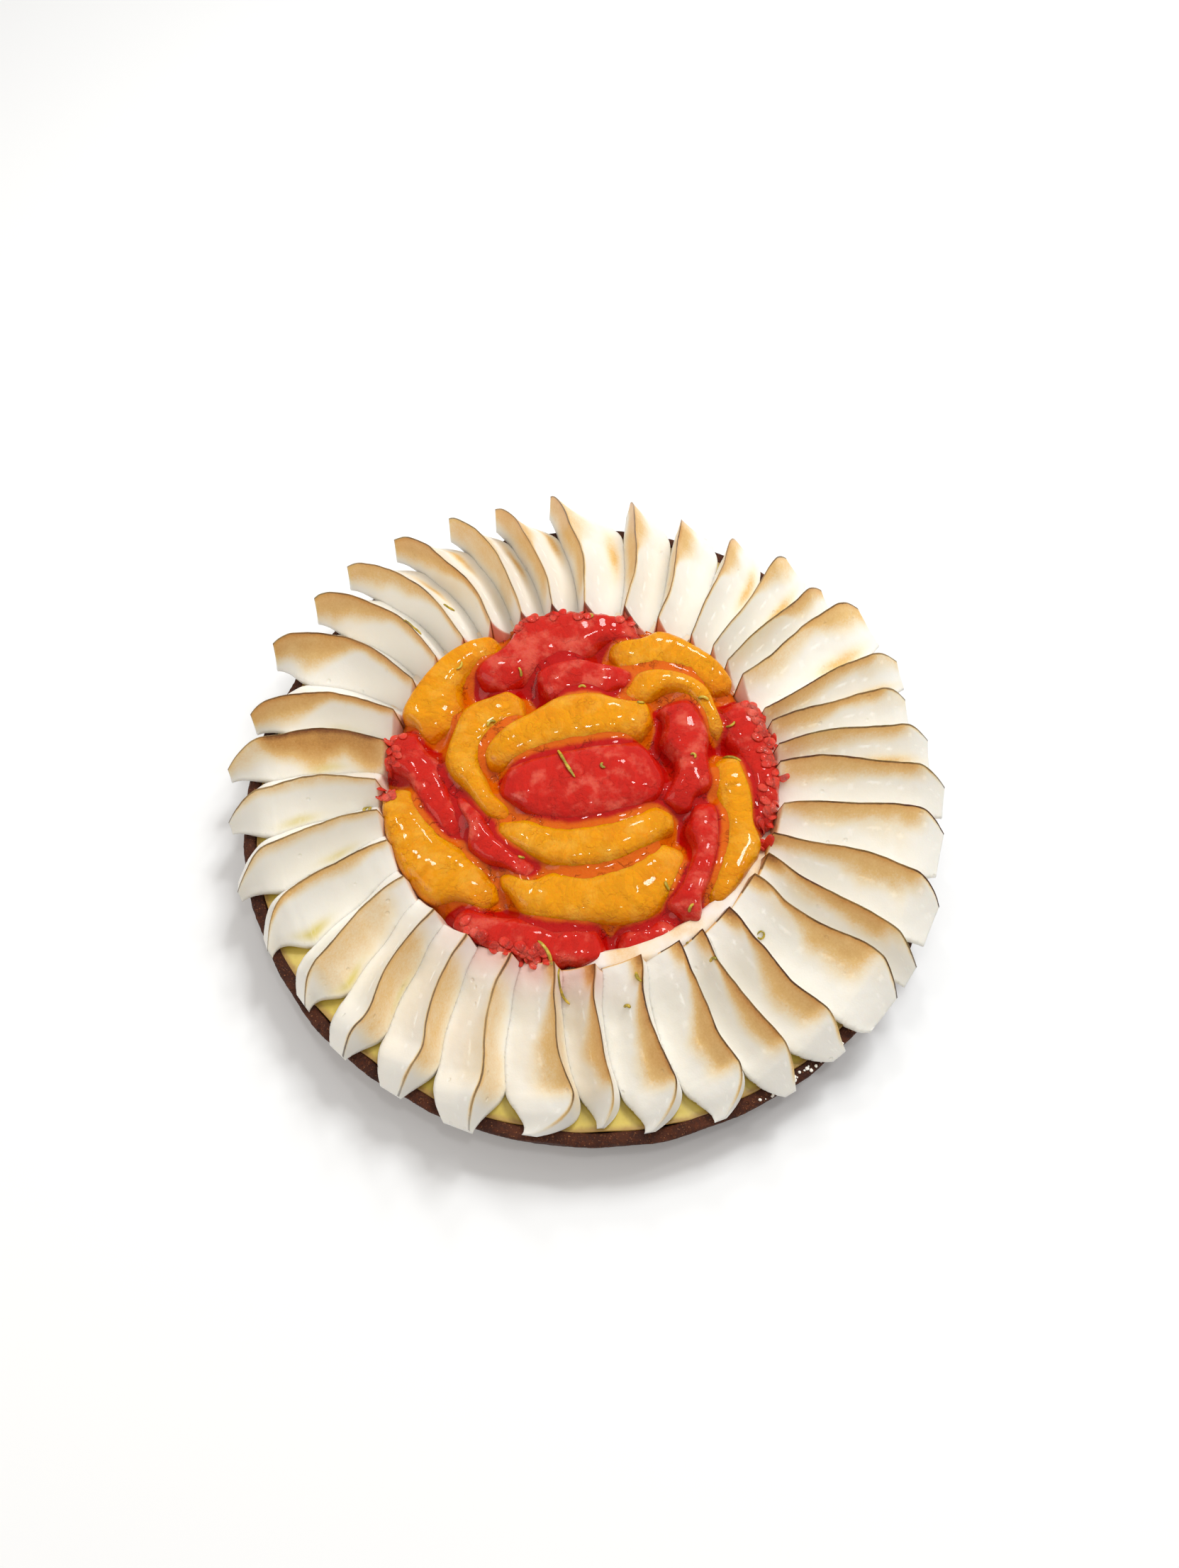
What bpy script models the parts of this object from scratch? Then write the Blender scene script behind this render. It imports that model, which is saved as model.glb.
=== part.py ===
"""A round citrus tart with a ring of piped, torched meringue petals round a rosette of citrus segments.

The frame is in metres with +Z up. The origin is at the middle of the flat underside, and -Y is the front.
Sizes below are in millimetres, and angles are in degrees, anticlockwise from +X as seen from above.
"""

import math
import random
from dataclasses import astuple, dataclass

import bmesh
import bpy
from mathutils import Matrix, Vector
from mathutils.bvhtree import BVHTree

MM = 0.001
SEED = 24

RIM_RADIUS = 120.0
FOOT_RADIUS = 116.5
CRUST_HEIGHT = 20.0
FLOOR_THICKNESS = 4.0
WALL_THICKNESS = 4.2
FOOT_BEVEL = 1.0
RIM_ROUNDING = 0.9
INNER_ROUNDING = 0.45
CRUST_SIDES = 96
RIM_WAVE = 0.45
RIM_WAVE_UP = 0.315
SHARP_ANGLE = 40.0

GAP = 0.3
CURD_TOP = CRUST_HEIGHT - 0.7
CURD_MENISCUS = 0.35
CURD_EDGE = 5.0
CURD_FLAT_RADIUS = 60.0

PETAL_INNER_RADIUS = 68.4
PETAL_START_SPREAD = 1.4
PETAL_SHIFT = 3.2
PETAL_SHIFT_ANGLE = 160.0
PETAL_FOOT_HEIGHT = 4.5
PETAL_HEIGHT = 19.2
PETAL_HEIGHT_SPREAD = 1.0
PETAL_DROOP = 0.19
PETAL_DROOP_SWING = 0.08
PETAL_DROOP_TOWARD = 330.0
PETAL_LOBE = 0.70
PETAL_NARROW = 0.76
PETAL_NARROW_POWER = 1.7
PETAL_TIP_SHARES = (0.40, 0.50)
PETAL_TIP_BEND = 3.0
SIDE_TIP_SHIFT = 0.42
LOBED_TIP_SHARE = 0.72
RIDGE_RIPPLE = 0.035
RIDGE_RIPPLE_TURN = 7.0
RIDGE_SWAY = 0.03
RIDGE_SWAY_TURN = 9.0
WIDE_FACE_HOLLOW = 0.60
WIDE_FACE_CURVE = 2.2
STEEP_FACE_HOLLOW = 0.45
STEEP_FACE_CURVE = 2.0
LOBE_CURVE = 0.8
VALLEY_HEIGHT = 3.6
VALLEY_CREST_SHARE = 0.3
VALLEY_END_SHARE = 0.5
VALLEY_FILL = 0.62
VALLEY_FILL_LENGTH = 0.38
VALLEY_FILL_SLOPE = 1.2
VALLEY_SHARE = 0.14
OVER_RIM_BASE = CRUST_HEIGHT + 1.0
RIM_CLEAR_FROM = 107.0
RIM_CLEAR_TO = 113.5
INNER_GAUGE = 68.0
OUTER_GAUGE = 105.0
BOW = 1.2
BOW_SHIFT = -0.4
BOW_TOWARD = 335.0
FRONT_BEND = 1.2
FRONT_SWING_LENGTH = 0.3
FRONT_BULGE = 1.35
FRONT_BULGE_AT = 1.12
FRONT_BULGE_WIDTH = 0.28

FRUIT_LEAN = 0.005
FRUIT_LEAN_LEVEL = CRUST_HEIGHT + 16.0
FRUIT_EDGE_GAP = 1.1
FRUIT_GAP = 0.9
FRUIT_EDGE_HOLD = 0.45
FRUIT_SWELL = 1.45
FRUIT_END_WIDTH = 0.30
FRUIT_END_HEIGHT = 0.55
FRUIT_LENGTH_POWER = 4.5
FRUIT_ROUND_POWER = 0.6
FRUIT_HEIGHT_POWER = 0.7

ZEST_RADIUS = 0.55
ZEST_SINK = 0.36
ZEST_SIDES = 5
ZEST_STEPS = 8

CRUST_COLOUR = (0.075, 0.028, 0.014)
CURD_COLOUR = (0.70, 0.50, 0.09)
MERINGUE_COLOUR = (0.86, 0.80, 0.68)
ORANGE_COLOUR = (0.85, 0.30, 0.01)
GRAPEFRUIT_COLOUR = (0.62, 0.04, 0.025)


@dataclass(frozen=True)
class Petal:
    """One piped petal: its ridge's angle near the fruit and near the rim, and how far out its tip reaches."""

    inner_angle: float
    outer_angle: float
    reach: float


@dataclass(frozen=True)
class PetalEnd:
    """A petal's outer end: where its ridge starts to fall, how suddenly, and what is left at the tip."""

    plunge: float
    power: float
    crest_left: float
    width_left: float
    steep_left: float
    roundness: float
    sway: float

    def toward(self, other, share):
        """The form this share of the way to the other one."""
        return PetalEnd(*(mix(a, b, share) for a, b in zip(astuple(self), astuple(other))))


@dataclass(frozen=True)
class Region:
    """A stretch of the ring: its middle direction, and how far to each side it reaches before it fades out."""

    centre: float
    width: float

    def share(self, angle):
        """How much this angle belongs to it: 1 within half the width, then less, and 0 past the width."""
        turn = abs((angle - self.centre + 180.0) % 360.0 - 180.0)
        return smooth_step(turn, self.width, 0.5 * self.width)


@dataclass(frozen=True)
class Segment:
    """One citrus segment: its curved centre line's ends and middle seen from above, its width and its top."""

    name: str
    citrus: str
    start: tuple
    middle: tuple
    end: tuple
    width: float
    top: float


@dataclass(frozen=True)
class ZestCurl:
    """A curl of zest on one piece: the piece, where it starts, its heading, its length and how far it turns."""

    host: str
    start: tuple
    heading: float
    length: float
    turn: float


BLUNT_END = PetalEnd(
    plunge=0.82,
    power=1.8,
    crest_left=0.55,
    width_left=0.70,
    steep_left=0.40,
    roundness=0.20,
    sway=0.16,
)
POINTED_END = PetalEnd(
    plunge=0.78,
    power=1.5,
    crest_left=0.10,
    width_left=0.26,
    steep_left=0.40,
    roundness=0.70,
    sway=0.0,
)
LOBED_END = PetalEnd(
    plunge=0.82,
    power=1.6,
    crest_left=0.20,
    width_left=0.46,
    steep_left=0.12,
    roundness=0.75,
    sway=0.0,
)
SHARP_END = PetalEnd(
    plunge=0.76,
    power=1.5,
    crest_left=0.35,
    width_left=0.42,
    steep_left=0.30,
    roundness=0.30,
    sway=0.0,
)
HIGH_END = PetalEnd(
    plunge=0.90,
    power=2.2,
    crest_left=0.82,
    width_left=0.45,
    steep_left=0.40,
    roundness=0.10,
    sway=0.10,
)

POINTED_REGION = Region(287.0, 44.0)
LOBED_REGION = Region(231.0, 44.0)
HIGH_REGION = Region(130.0, 62.0)
SHARP_REGION = Region(194.0, 36.0)
NARROW_TIP_REGION = Region(281.0, 24.0)
FRONT_BEND_REGION = Region(272.0, 84.0)
WIDE_STEEP_FACES = (
    (0.38, Region(172.0, 62.0)),
    (0.11, Region(232.0, 44.0)),
    (0.04, Region(90.0, 40.0)),
)

PETALS = (
    Petal(91, 93, 125),
    Petal(101, 103, 123),
    Petal(111, 111, 125),
    Petal(120, 120, 127),
    Petal(130, 129, 128),
    Petal(140, 138, 126),
    Petal(150, 148, 127),
    Petal(160, 162, 122),
    Petal(170, 171, 126),
    Petal(183, 182, 124),
    Petal(192, 194, 123),
    Petal(201, 204, 120),
    Petal(212, 217, 119),
    Petal(225, 230, 121),
    Petal(236, 241, 121),
    Petal(249, 252, 122),
    Petal(261, 267, 119),
    Petal(272, 274, 115),
    Petal(284, 284, 118),
    Petal(296, 295, 120),
    Petal(303, 303, 122),
    Petal(313, 312, 122),
    Petal(325, 325, 124),
    Petal(333, 331, 124),
    Petal(340, 342, 124),
    Petal(350, 354, 122),
    Petal(364, 363, 123),
    Petal(370, 371, 121),
    Petal(378, 379, 119),
    Petal(383, 386, 124),
    Petal(396, 398, 126),
    Petal(403, 404, 121),
    Petal(409, 412, 124),
    Petal(417, 421, 121),
    Petal(428, 431, 122),
    Petal(439, 440, 125),
)

SEGMENTS = (
    Segment("grapefruit_centre", "grapefruit", (-30, -4), (-3, -5), (25, 3), 31, 41),
    Segment("orange_above_centre", "orange", (-34, 4), (-9, 21), (22, 22), 19, 41),
    Segment("orange_below_centre", "orange", (-30, -17), (-3, -27), (28, -14), 20, 39),
    Segment("grapefruit_right_of_centre", "grapefruit", (31, 31), (35, 9), (31, -12), 25, 39),
    Segment("orange_inner_left", "orange", (-24, 32), (-42, 10), (-27, -16), 21, 39),
    Segment("grapefruit_inner_back", "grapefruit", (-18, 38), (-2, 41), (15, 37), 16, 38),
    Segment("orange_inner_right", "orange", (12, 34), (34, 37), (46, 18), 15, 37.5),
    Segment("grapefruit_inner_left", "grapefruit", (-44, -6), (-33, -25), (-18, -37), 20, 37),
    Segment("grapefruit_band_right", "grapefruit", (38, -9), (38, -31), (31, -51), 19, 37),
    Segment("orange_front", "orange", (-29, -36), (2, -44), (31, -27), 26, 36.5),
    Segment("orange_right", "orange", (47, 9), (53, -17), (41, -45), 26, 36),
    Segment("orange_back_right", "orange", (8, 54), (32, 53), (51, 38), 26, 36),
    Segment("grapefruit_right", "grapefruit", (48, 29), (59, 9), (57, -17), 29, 35.5),
    Segment("grapefruit_back", "grapefruit", (-38, 40), (-14, 59), (18, 60), 29, 37),
    Segment("orange_back_left", "orange", (-33, 57), (-55, 42), (-56, 17), 31, 36.5),
    Segment("grapefruit_left", "grapefruit", (-62, 20), (-58, 1), (-41, -18), 25, 35),
    Segment("orange_front_left", "orange", (-65, -3), (-56, -27), (-31, -44), 30, 35.5),
    Segment("grapefruit_front", "grapefruit", (-43, -49), (-22, -60), (5, -61), 26, 34.5),
    Segment("grapefruit_front_right", "grapefruit", (10, -60), (20, -59), (30, -54), 14, 31.5),
)

ZEST_CURLS = (
    ZestCurl("grapefruit_centre", (-7, 4), 285, 8, 20),
    ZestCurl("grapefruit_right_of_centre", (29, 23), 240, 7, -200),
    ZestCurl("orange_above_centre", (2, 23), 60, 4, 160),
    ZestCurl("orange_right", (47, 2), 250, 7, 60),
    ZestCurl("grapefruit_front", (-16, -58), 330, 8, -60),
    ZestCurl("orange_back_left", (-48, 43), 20, 4, 90),
    ZestCurl("petal_10", (-80, 0), 200, 5, 300),
    ZestCurl("petal_19", (12, -82), 260, 3, 120),
    ZestCurl("petal_22", (52, -66), 310, 5, 260),
)


def clear_scene():
    """Removes every object that the new file starts with."""
    for obj in list(bpy.data.objects):
        bpy.data.objects.remove(obj, do_unlink=True)


def make_material(name, colour, roughness, coat=0.0):
    """A plain Principled material of one colour."""
    material = bpy.data.materials.new(name)
    material.use_nodes = True
    shader = material.node_tree.nodes["Principled BSDF"]
    shader.inputs["Base Color"].default_value = (*colour, 1.0)
    shader.inputs["Roughness"].default_value = roughness
    shader.inputs["Metallic"].default_value = 0.0
    shader.inputs["Coat Weight"].default_value = coat
    return material


def add_mesh_object(name, points, faces, material):
    """Makes one object from points in millimetres and faces, with its normals turned outward."""
    mesh = bpy.data.meshes.new(name)
    mesh.from_pydata([Vector(point) * MM for point in points], [], faces)
    shape = bmesh.new()
    shape.from_mesh(mesh)
    bmesh.ops.recalc_face_normals(shape, faces=shape.faces)
    bmesh.ops.triangulate(shape, faces=shape.faces)
    shape.to_mesh(mesh)
    shape.free()
    mesh.shade_smooth()
    mesh.set_sharp_from_angle(angle=math.radians(SHARP_ANGLE))
    mesh.materials.append(material)
    obj = bpy.data.objects.new(name, mesh)
    bpy.context.scene.collection.objects.link(obj)
    return obj


def loft(name, rings, material):
    """A closed solid through rings that all have the same number of points, with a flat cap at each end."""
    count = len(rings[0])
    points = [point for ring in rings for point in ring]
    faces = []
    for k in range(len(rings) - 1):
        for j in range(count):
            a = k * count + j
            b = k * count + (j + 1) % count
            faces.append((a, b, b + count, a + count))
    faces.append(tuple(range(count)))
    last = (len(rings) - 1) * count
    faces.append(tuple(range(last, last + count)))
    return add_mesh_object(name, points, faces, material)


def polar(radius, angle):
    """The point at this radius and angle, seen from above."""
    return (radius * math.cos(math.radians(angle)), radius * math.sin(math.radians(angle)))


def mix(a, b, share):
    """The value this share of the way from a to b."""
    return a + (b - a) * share


def clamp(value, low, high):
    """The value, held between low and high."""
    return max(low, min(high, value))


def past(value, start):
    """How far the value is past the start, as a share of the way from there to 1."""
    return clamp((value - start) / (1.0 - start), 0.0, 1.0)


def smooth_step(value, low, high):
    """The value's way from low to high, from 0 to 1, with a smooth start and end."""
    share = clamp((value - low) / (high - low), 0.0, 1.0)
    return share * share * (3.0 - 2.0 * share)


class Wave:
    """A smooth, uneven line round the tart: a sum of sine waves with seeded phases, about 1 high in all."""

    def __init__(self, draw, counts):
        self.parts = [(count, draw.uniform(0.0, 2.0 * math.pi)) for count in counts]

    def at(self, angle):
        """Its height at this angle in degrees."""
        turned = math.radians(angle)
        total = sum(math.sin(count * turned + phase) for count, phase in self.parts)
        return total / math.sqrt(len(self.parts))


class Crust:
    """The baked case: a floor and a wall whose uneven rim stands round the curd."""

    def __init__(self, draw):
        self.outer_wave = Wave(draw, (3, 7, 13, 31))
        self.inner_wave = Wave(draw, (5, 11, 19, 37))
        self.top_wave = Wave(draw, (4, 9, 23, 41))
        self.angles = [360.0 * k / CRUST_SIDES for k in range(CRUST_SIDES)]

    def inner_radius(self, angle, height):
        """The radius of the wall's inner face, which leans out like the outer one."""
        share = height / CRUST_HEIGHT
        wave = RIM_WAVE * share * self.inner_wave.at(angle)
        return mix(FOOT_RADIUS, RIM_RADIUS, share) - WALL_THICKNESS + wave

    def profile(self, angle):
        """The points of the shell's outline here, from the underside's edge up and over to the floor."""
        top = CRUST_HEIGHT + RIM_WAVE_UP * (self.top_wave.at(angle) - 1.0)
        outer = RIM_RADIUS + RIM_WAVE * self.outer_wave.at(angle)
        inner = self.inner_radius(angle, top)
        return (
            (FOOT_RADIUS - FOOT_BEVEL, 0.0),
            (FOOT_RADIUS, FOOT_BEVEL),
            (outer, top - RIM_ROUNDING),
            (outer - RIM_ROUNDING, top),
            (inner + INNER_ROUNDING, top),
            (inner, top - INNER_ROUNDING),
            (self.inner_radius(angle, FLOOR_THICKNESS), FLOOR_THICKNESS),
        )

    def build(self, material):
        """Joins the outlines into one shell, with a fan for the underside and one for the floor."""
        points = []
        for angle in self.angles:
            for radius, height in self.profile(angle):
                points.append((*polar(radius, angle), height))
        size = len(points) // CRUST_SIDES
        under = len(points)
        points.append((0.0, 0.0, 0.0))
        floor = len(points)
        points.append((0.0, 0.0, FLOOR_THICKNESS))
        faces = []
        for k in range(CRUST_SIDES):
            here = k * size
            there = (k + 1) % CRUST_SIDES * size
            for j in range(size - 1):
                faces.append((here + j, there + j, there + j + 1, here + j + 1))
            faces.append((under, there, here))
            faces.append((floor, here + size - 1, there + size - 1))
        return add_mesh_object("crust", points, faces, material)


def build_curd(crust, material):
    """The set lemon curd, which fills the case from its floor to just under the rim."""
    bottom = FLOOR_THICKNESS + GAP
    points = []
    for angle in crust.angles:
        foot = crust.inner_radius(angle, bottom) - GAP
        edge = crust.inner_radius(angle, CURD_TOP) - GAP
        points.append((*polar(foot, angle), bottom))
        points.append((*polar(edge, angle), CURD_TOP + CURD_MENISCUS))
        points.append((*polar(edge - CURD_EDGE, angle), CURD_TOP))
        points.append((*polar(CURD_FLAT_RADIUS, angle), CURD_TOP))
    size = 4
    under = len(points)
    points.append((0.0, 0.0, bottom))
    middle = len(points)
    points.append((0.0, 0.0, CURD_TOP))
    faces = []
    for k in range(CRUST_SIDES):
        here = k * size
        there = (k + 1) % CRUST_SIDES * size
        for j in range(size - 1):
            faces.append((here + j, there + j, there + j + 1, here + j + 1))
        faces.append((under, there, here))
        faces.append((middle, here + size - 1, there + size - 1))
    return add_mesh_object("curd", points, faces, material)


class PlanLine:
    """A curved line seen from above, through two angles at the inner and the outer gauge radius.

    At the sides it is a plain bow. At the front it swings in an S that bulges anticlockwise near its outer end.
    """

    def __init__(self, inner_angle, outer_angle):
        self.inner = Vector(polar(INNER_GAUGE, inner_angle))
        self.outer = Vector(polar(OUTER_GAUGE, outer_angle))
        at_front = FRONT_BEND_REGION.share(outer_angle)
        at_side = BOW_SHIFT + BOW * math.cos(math.radians(outer_angle - BOW_TOWARD))
        self.bow = at_side * (1.0 - at_front)
        self.front = FRONT_BEND * at_front

    def at(self, radius):
        """The line's point at about this radius."""
        share = (radius - INNER_GAUGE) / (OUTER_GAUGE - INNER_GAUGE)
        bulge = FRONT_BULGE * math.exp(-(((share - FRONT_BULGE_AT) / FRONT_BULGE_WIDTH) ** 2))
        turn = self.bow * 4.0 * share * (1.0 - share)
        turn += self.front * (bulge - smooth_step(share, 0.0, FRONT_SWING_LENGTH))
        straight = self.inner.lerp(self.outer, share)
        straight.rotate(Matrix.Rotation(math.radians(turn), 2))
        return straight


def petal_inner_radius(angle):
    """Where the petals start: the whole ring lies a little toward the back left."""
    return PETAL_INNER_RADIUS + PETAL_SHIFT * math.cos(math.radians(angle - PETAL_SHIFT_ANGLE))


def petal_base(radius):
    """The height of a petal's underside, which lifts clear of the crust's rim."""
    share = clamp((radius - RIM_CLEAR_FROM) / (RIM_CLEAR_TO - RIM_CLEAR_FROM), 0.0, 1.0)
    return mix(CURD_TOP + GAP, OVER_RIM_BASE, share)


def valley_line(petal, following):
    """The line where a petal meets the next one round, close to its ridge where its steep face is narrow."""
    share = VALLEY_SHARE + sum(more * region.share(petal.outer_angle) for more, region in WIDE_STEEP_FACES)
    return PlanLine(
        mix(petal.inner_angle, following.inner_angle, share),
        mix(petal.outer_angle, following.outer_angle, share),
    )


class PetalShape:
    """The wedge of one petal: a wide face, a sharp ridge and a steep face, and an end that suits its place."""

    FOOT = -0.055
    RADII = (80.0, 90.0, 98.0, 105.0, 111.0)
    END_SHARES = (0.42, 0.76, 1.0)
    WIDE_SHARES = (0.0, 0.34, 0.66, 0.88, 1.0)
    STEEP_SHARES = (0.5, 0.0)

    def __init__(self, petal, before, after, draw):
        self.ridge = PlanLine(petal.inner_angle, petal.outer_angle)
        self.low_valley = before
        self.high_valley = after
        self.start = petal_inner_radius(petal.inner_angle) + draw.uniform(0.0, PETAL_START_SPREAD)
        self.reach = petal.reach
        self.height = PETAL_HEIGHT + draw.uniform(-PETAL_HEIGHT_SPREAD, PETAL_HEIGHT_SPREAD)
        angle = petal.outer_angle
        self.pointed = POINTED_REGION.share(angle)
        self.lobed = LOBED_REGION.share(angle) * (1.0 - self.pointed)
        front_end = BLUNT_END.toward(POINTED_END, self.pointed).toward(LOBED_END, self.lobed)
        back_end = front_end.toward(HIGH_END, HIGH_REGION.share(angle))
        self.end = back_end.toward(SHARP_END, SHARP_REGION.share(angle))
        self.droop = PETAL_DROOP + PETAL_DROOP_SWING * math.cos(math.radians(angle - PETAL_DROOP_TOWARD))
        self.fill = clamp(0.5 - VALLEY_FILL_SLOPE * math.sin(math.radians(angle)), 0.0, 1.0)
        self.tip_share = draw.uniform(*PETAL_TIP_SHARES)
        self.tip_share += SIDE_TIP_SHIFT * (1.0 - NARROW_TIP_REGION.share(angle))
        self.tip_sway = self.end.sway * math.cos(math.radians(angle))
        self.phase = draw.uniform(0.0, 2.0 * math.pi)

    def stations(self):
        """The shares of the length where the rings stand, most at radii that neighbours share."""
        body = [(radius - self.start) / (self.reach - self.start) for radius in self.RADII]
        end = [mix(body[-1], 1.0, share) for share in self.END_SHARES]
        return [self.FOOT, 0.0, *body, *end]

    def crest(self, along):
        """The ridge's height over the base at this share of the petal's length, which starts at a low foot."""
        if along < 0.0:
            return PETAL_FOOT_HEIGHT
        height = self.height * (1.0 - self.droop * along * along)
        height *= 1.0 + RIDGE_RIPPLE * math.sin(RIDGE_RIPPLE_TURN * along + self.phase)
        return height * mix(1.0, self.end.crest_left, past(along, self.end.plunge) ** self.end.power)

    def section(self, along):
        """The ring of points round the petal at this share of its length."""
        radius = mix(self.start, self.reach, along)
        low = self.low_valley.at(radius)
        high = self.high_valley.at(radius)
        width = (high - low).length
        lobe = past(along, PETAL_LOBE)
        crest_share = (self.ridge.at(radius) - low).length / width
        crest_share += RIDGE_SWAY * math.sin(RIDGE_SWAY_TURN * along + self.phase) * (1.0 - lobe)
        tip_share = mix(crest_share, self.tip_share, self.pointed)
        tip_share = mix(tip_share, LOBED_TIP_SHARE, self.lobed) - self.tip_sway
        crest_share = mix(crest_share, tip_share, lobe**PETAL_TIP_BEND)
        spread = mix(1.0, self.end.width_left, past(along, PETAL_NARROW) ** PETAL_NARROW_POWER)
        margin = 0.5 * GAP / width
        first = mix(crest_share, margin, spread)
        last = mix(crest_share, 1.0 - margin, spread * mix(1.0, self.end.steep_left, lobe))
        base = petal_base(radius)
        crest = self.crest(along)
        valley = min(VALLEY_HEIGHT, VALLEY_CREST_SHARE * crest) * mix(1.0, VALLEY_END_SHARE, lobe)
        valley = mix(valley, VALLEY_FILL * crest, self.fill * smooth_step(along, VALLEY_FILL_LENGTH, 0.0))

        def place(share, height):
            spot = low.lerp(high, share)
            return (spot.x, spot.y, base + height)

        ring = [place(first, 0.0)]
        for share in self.WIDE_SHARES:
            hollow = mix(share, share**WIDE_FACE_CURVE, WIDE_FACE_HOLLOW)
            round_face = math.sin(0.5 * math.pi * share) ** LOBE_CURVE
            rise = mix(hollow, round_face, self.end.roundness * lobe)
            ring.append(place(mix(first, crest_share, share), mix(valley, crest, rise)))
        for share in self.STEEP_SHARES:
            rise = mix(share, share**STEEP_FACE_CURVE, STEEP_FACE_HOLLOW)
            ring.append(place(mix(last, crest_share, share), mix(valley, crest, rise)))
        ring.append(place(last, 0.0))
        return ring

    def build(self, name, material):
        """The petal's solid."""
        return loft(name, [self.section(along) for along in self.stations()], material)


def build_petals(draw, material):
    """All the petals, each in its own wedge between two valley lines."""
    count = len(PETALS)
    valleys = []
    for k, petal in enumerate(PETALS):
        following = PETALS[(k + 1) % count]
        if k == count - 1:
            following = Petal(following.inner_angle + 360, following.outer_angle + 360, following.reach)
        valleys.append(valley_line(petal, following))
    made = []
    for k, petal in enumerate(PETALS):
        shape = PetalShape(petal, valleys[k - 1], valleys[k], draw)
        made.append(shape.build(f"petal_{k + 1:02d}", material))
    return made


def fruit_edge(point):
    """How far out the fruit may reach in the direction of this point."""
    angle = math.degrees(math.atan2(point.y, point.x))
    return petal_inner_radius(angle) - FRUIT_EDGE_GAP


class CentreLine:
    """A segment's curved centre line seen from above, through its start, middle and end."""

    SAMPLES = 16

    def __init__(self, segment):
        self.start = Vector(segment.start)
        self.end = Vector(segment.end)
        self.control = 2.0 * Vector(segment.middle) - (self.start + self.end) / 2.0
        self.samples = [self.at(k / self.SAMPLES) for k in range(self.SAMPLES + 1)]

    def at(self, along):
        """The line's point at this share of its length."""
        back = 1.0 - along
        return back * back * self.start + 2.0 * along * back * self.control + along * along * self.end

    def heading(self, along):
        """The line's direction there."""
        step = (1.0 - along) * (self.control - self.start) + along * (self.end - self.control)
        return step.normalized()

    def distance(self, point):
        """How far this point is from the line."""
        best = math.inf
        for a, b in zip(self.samples, self.samples[1:]):
            step = b - a
            share = clamp((point - a).dot(step) / step.length_squared, 0.0, 1.0)
            best = min(best, (point - a - share * step).length)
        return best


class FruitPiece:
    """The solid of one segment: a plump crescent that presses against its neighbours, up to the petals."""

    STATIONS = (0.0, 0.04, 0.13, 0.25, 0.38, 0.50, 0.62, 0.75, 0.87, 0.96, 1.0)
    OUTLINE = (
        (-0.85, 0.0),
        (-1.0, 0.40),
        (-0.98, 0.74),
        (-0.66, 0.94),
        (0.0, 1.0),
        (0.66, 0.94),
        (0.98, 0.74),
        (1.0, 0.40),
        (0.85, 0.0),
    )
    MARCH = 0.25

    def __init__(self, segment, line, others):
        self.segment = segment
        self.line = line
        self.others = others

    def is_free(self, point):
        """Whether this point is this segment's: not nearer to a neighbour, nor past the petals' inner ends."""
        if point.length > fruit_edge(point):
            return False
        half = self.segment.width / 2.0
        own = self.line.distance(point) / half
        for other, line in self.others:
            other_half = other.width / 2.0
            slack = 0.5 * FRUIT_GAP * (1.0 / half + 1.0 / other_half)
            if own + slack > line.distance(point) / other_half:
                return False
        return True

    def reach(self, start, direction, wanted):
        """How far the piece may go sideways from here, up to the width wanted."""
        gone = self.MARCH
        while gone < wanted and self.is_free(start + direction * gone):
            gone += self.MARCH
        return max(self.MARCH, min(wanted, gone - self.MARCH))

    def section(self, along):
        """The ring of points round the piece at this share of its length."""
        middle = self.line.at(along)
        heading = self.line.heading(along)
        side = Vector((heading.y, -heading.x))
        from_middle = abs(2.0 * along - 1.0)
        fullness = mix(FRUIT_END_WIDTH, 1.0, (1.0 - from_middle**FRUIT_LENGTH_POWER) ** FRUIT_ROUND_POWER)
        wanted = fullness * FRUIT_SWELL * self.segment.width / 2.0
        left = self.reach(middle, -side, wanted)
        right = self.reach(middle, side, wanted)
        base = CURD_TOP + GAP
        height = (self.segment.top - base) * mix(FRUIT_END_HEIGHT, 1.0, fullness**FRUIT_HEIGHT_POWER)
        ring = []
        for across, up in self.OUTLINE:
            spot = middle + side * across * (right if across > 0 else left)
            level = base + height * up
            inward = 1.0 - FRUIT_EDGE_HOLD * (spot.length / fruit_edge(spot)) ** 2
            spot = spot * (1.0 + FRUIT_LEAN * inward * (level - FRUIT_LEAN_LEVEL))
            ring.append((spot.x, spot.y, level))
        return ring

    def build(self, material):
        """The piece's solid."""
        rings = [self.section(along) for along in self.STATIONS]
        return loft(self.segment.name, rings, material)


def build_fruit(materials):
    """The whole rosette of segments."""
    lines = {segment.name: CentreLine(segment) for segment in SEGMENTS}
    made = []
    for segment in SEGMENTS:
        others = [(other, lines[other.name]) for other in SEGMENTS if other is not segment]
        piece = FruitPiece(segment, lines[segment.name], others)
        made.append(piece.build(materials[segment.citrus]))
    return made


def surface_height(tree, x, y):
    """The height of a piece's top above this point, in millimetres, or nothing where the piece has none."""
    hit = tree.ray_cast(Vector((x * MM, y * MM, 1.0)), Vector((0.0, 0.0, -1.0)))[0]
    return None if hit is None else hit.z / MM


def zest_path(curl, tree):
    """The curl's middle line, laid over its host and stopped at the host's edge."""
    x, y = curl.start
    heading = math.radians(curl.heading)
    path = []
    for _ in range(ZEST_STEPS + 1):
        level = surface_height(tree, x, y)
        if level is None:
            break
        path.append(Vector((x, y, level + ZEST_RADIUS - ZEST_SINK)))
        x += curl.length / ZEST_STEPS * math.cos(heading)
        y += curl.length / ZEST_STEPS * math.sin(heading)
        heading += math.radians(curl.turn) / ZEST_STEPS
    return path


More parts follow.
